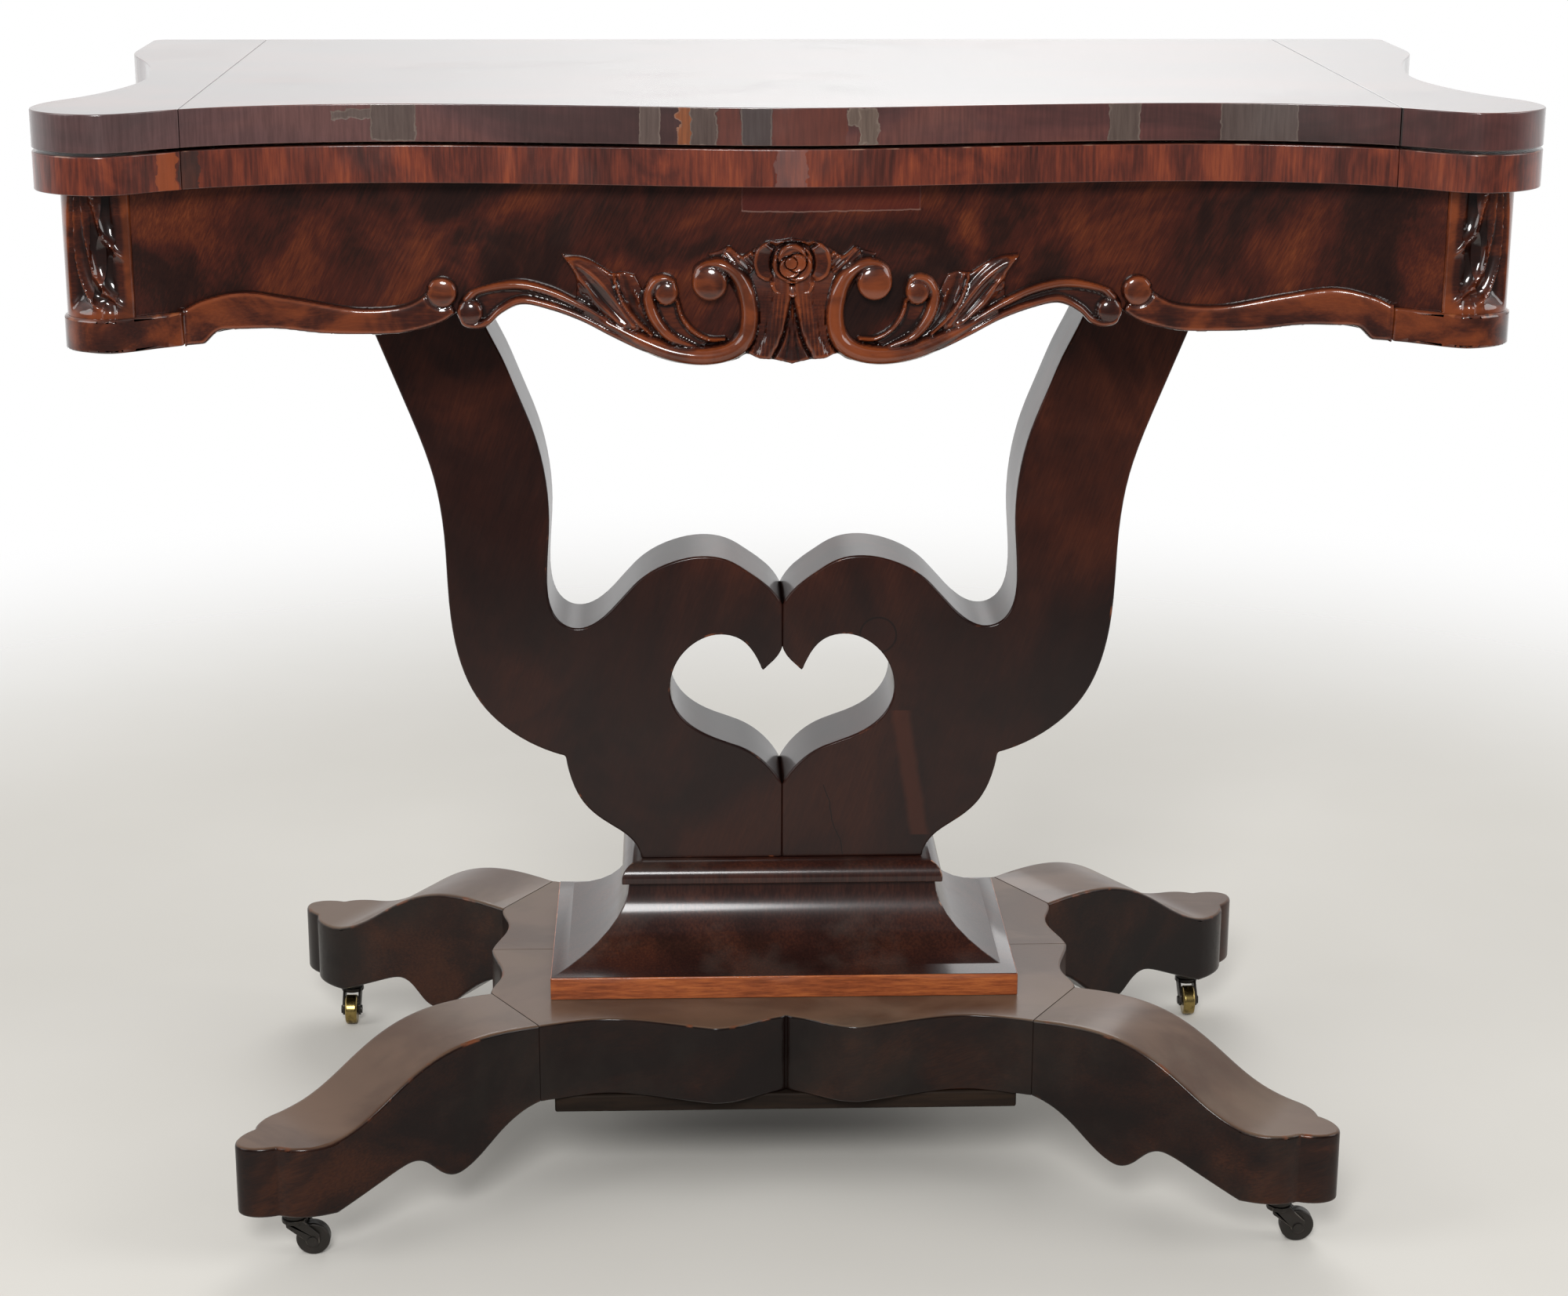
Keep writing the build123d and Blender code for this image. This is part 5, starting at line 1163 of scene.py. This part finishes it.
def makePost(side, name):
    inner, outline, low, high = postOutline()
    rows, columns = postShape["rows"], postShape["columns"]
    steps = np.concatenate([[0], np.cumsum(np.linalg.norm(np.diff(outline, axis=0), axis=1))])
    s, z = np.linspace(0, steps[-1], columns), np.linspace(low, high, rows)
    x, y = (np.interp(s, steps, outline[:, axis]) for axis in (0, 1))
    way = np.gradient(np.column_stack([x, y]), axis=0)
    way /= np.linalg.norm(way, axis=1)[:, None]
    S, Z = np.meshgrid(s, z, indexing="ij")
    depth = postDepth(S, Z, steps[-1], low)
    front = np.stack([x[:, None] - way[:, 1:] * depth, y[:, None] + way[:, :1] * depth, Z], axis=-1).reshape(-1, 3)
    back = np.array([(*inner, low), (*inner, high)] * columns)
    base, faces = len(front), []
    for i in range(columns - 1):
        a, b = i * rows, (i + 1) * rows
        c, d = base + i * 2, base + (i + 1) * 2
        faces += [(a + j, b + j, b + j + 1, a + j + 1) for j in range(rows - 1)]
        faces += [(c, c + 1, d + 1, d), (a, c, d, b), (a + rows - 1, b + rows - 1, d + 1, c + 1)]
    last = (columns - 1) * rows
    faces += [(*range(rows), base + 1, base),
              (*range(last + rows - 1, last - 1, -1), base + 2 * columns - 2, base + 2 * columns - 1)]
    mesh = closedMesh(name, np.vstack([front, back]) * (side, 1, 1), faces, postShape["sharp"])
    # painted shade in the hollows and painted highlight on the arrises: raised falls with the hollows' depth
    raised = (1 - unit(depth / postShape["depth"]) ** 0.8).reshape(-1) * 0.9
    layRaised(mesh, np.concatenate([raised, np.full(len(back), 0.4)]))
    return newPiece(name, mesh, "carved")


for side, name in ((-1, "left"), (1, "right")):
    settle(makePost(side, "carved_post_" + name), "base", ["corner_post_front_" + name])
print("posts carved")


# ---- screws by Geometry Nodes: one tree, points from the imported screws

screwLooks = {"headSides": 20, "shankSides": 14, "tip": 0.25, "slotLength": 2.4, "slotDepth": 0.8, "turn": (0.7, 0.4)}


def makeScrewTree():
    tree = bpy.data.node_groups.new("slottedScrews", "GeometryNodeTree")

    def socket(label, kind, side="INPUT"):
        return tree.interface.new_socket(name=label, in_out=side, socket_type="NodeSocket" + kind)

    def add(kind, given, **settings):
        return addNode(tree, kind, given, **settings).outputs[0]

    socket("Geometry", "Geometry")
    for label, value in (("Head Radius", 0.004), ("Head Height", 0.003), ("Shank Radius", 0.002), ("Length", 0.02),
                         ("Slot Width", 0.001)):
        socket(label, "Float").default_value = value
    socket("Finish", "Material")
    socket("Geometry", "Geometry", "OUTPUT")
    given = addNode(tree, "NodeGroupInput").outputs
    radius, tall, shankRadius = given["Head Radius"], given["Head Height"], given["Shank Radius"]

    def cone(count, low, high, depth):
        given = {"Vertices": count, "Radius Bottom": low, "Radius Top": high, "Depth": depth}
        return add("GeometryNodeMeshCone", given)

    head = cone(screwLooks["headSides"], radius, shankRadius, tall)
    across, deep = times(tree, radius, screwLooks["slotLength"]), times(tree, tall, screwLooks["slotDepth"])
    slotSize = add("ShaderNodeCombineXYZ", {0: across, 1: given["Slot Width"], 2: deep})
    slot = add("GeometryNodeMeshCube", {"Size": slotSize})
    cut = add("GeometryNodeMeshBoolean", {"Mesh 1": head, "Mesh 2": slot}, operation="DIFFERENCE")
    tip = times(tree, shankRadius, screwLooks["tip"])
    shank = cone(screwLooks["shankSides"], shankRadius, tip, minus(tree, given["Length"], tall))
    above = add("GeometryNodeTransform", {"Geometry": shank, "Translation": add("ShaderNodeCombineXYZ", {2: tall})})
    joined = addNode(tree, "GeometryNodeJoinGeometry", {0: cut})
    feed(tree, joined.inputs[0], above)
    lean = add("GeometryNodeInputNamedAttribute", {"Name": "lean"}, data_type="FLOAT_VECTOR")
    spread = add("GeometryNodeInstanceOnPoints", {
        "Points": given["Geometry"], "Instance": joined.outputs[0], "Rotation": lean})
    real = add("GeometryNodeRealizeInstances", {0: spread})
    finished = add("GeometryNodeSetMaterial", {"Geometry": real, "Material": given["Finish"]})
    addNode(tree, "NodeGroupOutput", {0: finished})
    return tree


screwTree = makeScrewTree()
screwSets = {   # body of each set of screws, and how wide the slot is
    "bearer_screws": ("base", 0.0012), "caster_screws": ("base", 0.0007), "pivot_plate_screws": ("lower_leaf", 0.0009),
    "lower_hinge_screws": ("lower_leaf", 0.0007), "upper_hinge_screws": ("upper_leaf", 0.0007),
}


def screwPlaces(node, near=1e-4):
    # each packed screw's head centre, whether its head is on top, its head radius, shank radius and length
    work = looseMesh(node)
    left, found = set(work.verts), []
    while left:
        group, queue = [], [left.pop()]
        while queue:
            vert = queue.pop()
            group.append(vert.co.copy())
            for other in (edge.other_vert(vert) for edge in vert.link_edges):
                if other in left:
                    left.remove(other)
                    queue.append(other)
        co = np.array([c[:] for c in group])
        low, high = co.min(0), co.max(0)
        centre = (low + high) / 2
        reach = np.hypot(co[:, 0] - centre[0], co[:, 1] - centre[1])
        topReach, lowReach = reach[co[:, 2] > high[2] - near].max(), reach[co[:, 2] < low[2] + near].max()
        atTop = topReach > lowReach
        headAt = Vector((centre[0], centre[1], high[2] if atTop else low[2]))
        found.append((headAt, atTop, reach.max(), min(topReach, lowReach), high[2] - low[2]))
    work.free()
    return found


def makeScrews(node, body, slotWidth):
    places = screwPlaces(node)
    mesh = bpy.data.meshes.new("screws_" + node)
    mesh.from_pydata([headAt[:] for headAt, *_ in places], [], [])
    lean = mesh.attributes.new("lean", "FLOAT_VECTOR", "POINT")
    step, first = screwLooks["turn"]
    for k, (_, atTop, *_) in enumerate(places):
        lean.data[k].vector = (math.pi if atTop else 0.0, 0.0, step * k + first)
    piece = newPiece("screws_" + node, mesh, "screwSteel")
    sets = piece.modifiers.new("screws", "NODES")
    sets.node_group = screwTree
    names = {item.name: item.identifier for item in screwTree.interface.items_tree if item.in_out == "INPUT"}
    headRadius, shankRadius, length = places[0][2:]
    for label, value in (("Head Radius", headRadius), ("Head Height", max(headRadius - shankRadius, 0.0006)),
                         ("Shank Radius", shankRadius), ("Length", length), ("Slot Width", slotWidth)):
        sets[names[label]] = float(value)
    sets[names["Finish"]] = finishes["screwSteel"]
    flatten(piece)
    settle(piece, body, [node])
    return len(places)


for node, (body, slotWidth) in screwSets.items():
    print("%s: %d" % (node, makeScrews(node, body, slotWidth)))


# ---- floor, surroundings, light and camera

studio = {
    "floor": "#cdcac4", "specks": "#c7c4bd", "floorReach": 9, "floorRough": 0.8, "fade": (0.85, 1.9),
    "surround": 0.55, "dimmer": (-0.45, 0.25, 0.12, 1.0),
    "lamps": {   # place, size, power
        "key": ((-0.35, -2.7, 2.0), 0.9, 62.0), "fillLeft": ((-2.6, -1.2, 1.7), 1.6, 26.0),
        "fillRight": ((2.6, -1.0, 1.7), 1.6, 26.0), "back": ((0.3, 2.4, 2.2), 1.8, 30.0),
    },
    "aim": (0, 0, 0.4),
}


def makeFloor():
    reach = studio["floorReach"]
    mesh = bpy.data.meshes.new("floor")
    corners = [(-reach, -reach, 0), (reach, -reach, 0), (reach, reach, 0), (-reach, reach, 0)]
    mesh.from_pydata(corners, [], [(0, 1, 2, 3)])
    floor = bpy.data.objects.new("floor", mesh)
    bpy.context.scene.collection.objects.link(floor)
    material = bpy.data.materials.new("floorPaint")
    material.use_nodes = True
    tree = material.node_tree
    shader = tree.nodes["Principled BSDF"]
    shader.inputs["Roughness"].default_value = studio["floorRough"]
    spot = addNode(tree, "ShaderNodeTexCoord").outputs["Object"]
    feed(tree, shader.inputs["Base Color"], blend(tree, noise(tree, spot, 5.0), studio["floor"], studio["specks"]))
    away = addNode(tree, "ShaderNodeVectorMath", {0: spot}, operation="LENGTH").outputs["Value"]
    clear = addNode(tree, "ShaderNodeBsdfTransparent").outputs[0]
    mix = addNode(tree, "ShaderNodeMixShader", {0: band(tree, away, *studio["fade"]), 1: shader.outputs[0], 2: clear})
    feed(tree, tree.nodes["Material Output"].inputs["Surface"], mix.outputs[0])
    mesh.materials.append(material)


def makeSurround():
    # white to the camera and in reflections, dimmer in front where the room is dark
    world = bpy.data.worlds.new("surround")
    bpy.context.scene.world = world
    world.use_nodes = True
    tree = world.node_tree
    path = addNode(tree, "ShaderNodeLightPath").outputs
    behind = band(tree, axes(tree, addNode(tree, "ShaderNodeTexCoord").outputs["Generated"])[1], *studio["dimmer"])
    seen = calc(tree, "MAXIMUM", path["Is Glossy Ray"], path["Is Transmission Ray"])
    rest = times(tree, minus(tree, 1.0, seen), studio["surround"])
    strength = calc(tree, "MAXIMUM", path["Is Camera Ray"], calc(tree, "ADD", times(tree, seen, behind), rest))
    feed(tree, tree.nodes["Background"].inputs["Strength"], strength)
    tree.nodes["Background"].inputs["Color"].default_value = (1, 1, 1, 1)


def addLamp(name, spot, size, power):
    light = bpy.data.lights.new(name, "AREA")
    light.shape = "DISK"
    light.size = size
    light.energy = power
    lamp = bpy.data.objects.new(name, light)
    bpy.context.scene.collection.objects.link(lamp)
    lamp.location = spot
    lamp.rotation_euler = (Vector(studio["aim"]) - lamp.location).to_track_quat("-Z", "Y").to_euler()


cameraView = {   # fitted to the photograph: metres, pixels and radians
    "place": (-0.0723562, -2.073666, 0.9766004), "focal": 3956.765, "width": 2000.0, "sensor": 36.0,
    "pitch": 0.2894072, "yaw": 0.0359304, "roll": 0.0030328,
}


def makeCamera():
    pitch, yaw, roll = cameraView["pitch"], cameraView["yaw"], cameraView["roll"]
    ahead = Vector((math.sin(yaw) * math.cos(pitch), math.cos(yaw) * math.cos(pitch), -math.sin(pitch)))
    right = Vector((math.cos(yaw), -math.sin(yaw), 0))
    up = right.cross(ahead)
    right, up = right * math.cos(roll) + up * math.sin(roll), up * math.cos(roll) - right * math.sin(roll)
    data = bpy.data.cameras.new("camera")
    data.sensor_width = cameraView["sensor"]
    data.lens = cameraView["sensor"] * cameraView["focal"] / cameraView["width"]
    camera = bpy.data.objects.new("camera", data)
    bpy.context.scene.collection.objects.link(camera)
    ways = zip(right, up, -ahead, cameraView["place"])
    camera.matrix_world = Matrix((*ways, (0, 0, 0, 1)))
    bpy.context.scene.camera = camera


makeFloor()
makeSurround()
for lampName, values in studio["lamps"].items():
    addLamp(lampName, *values)
makeCamera()
bpy.context.scene.view_settings.view_transform = "Standard"
print("studio ready")
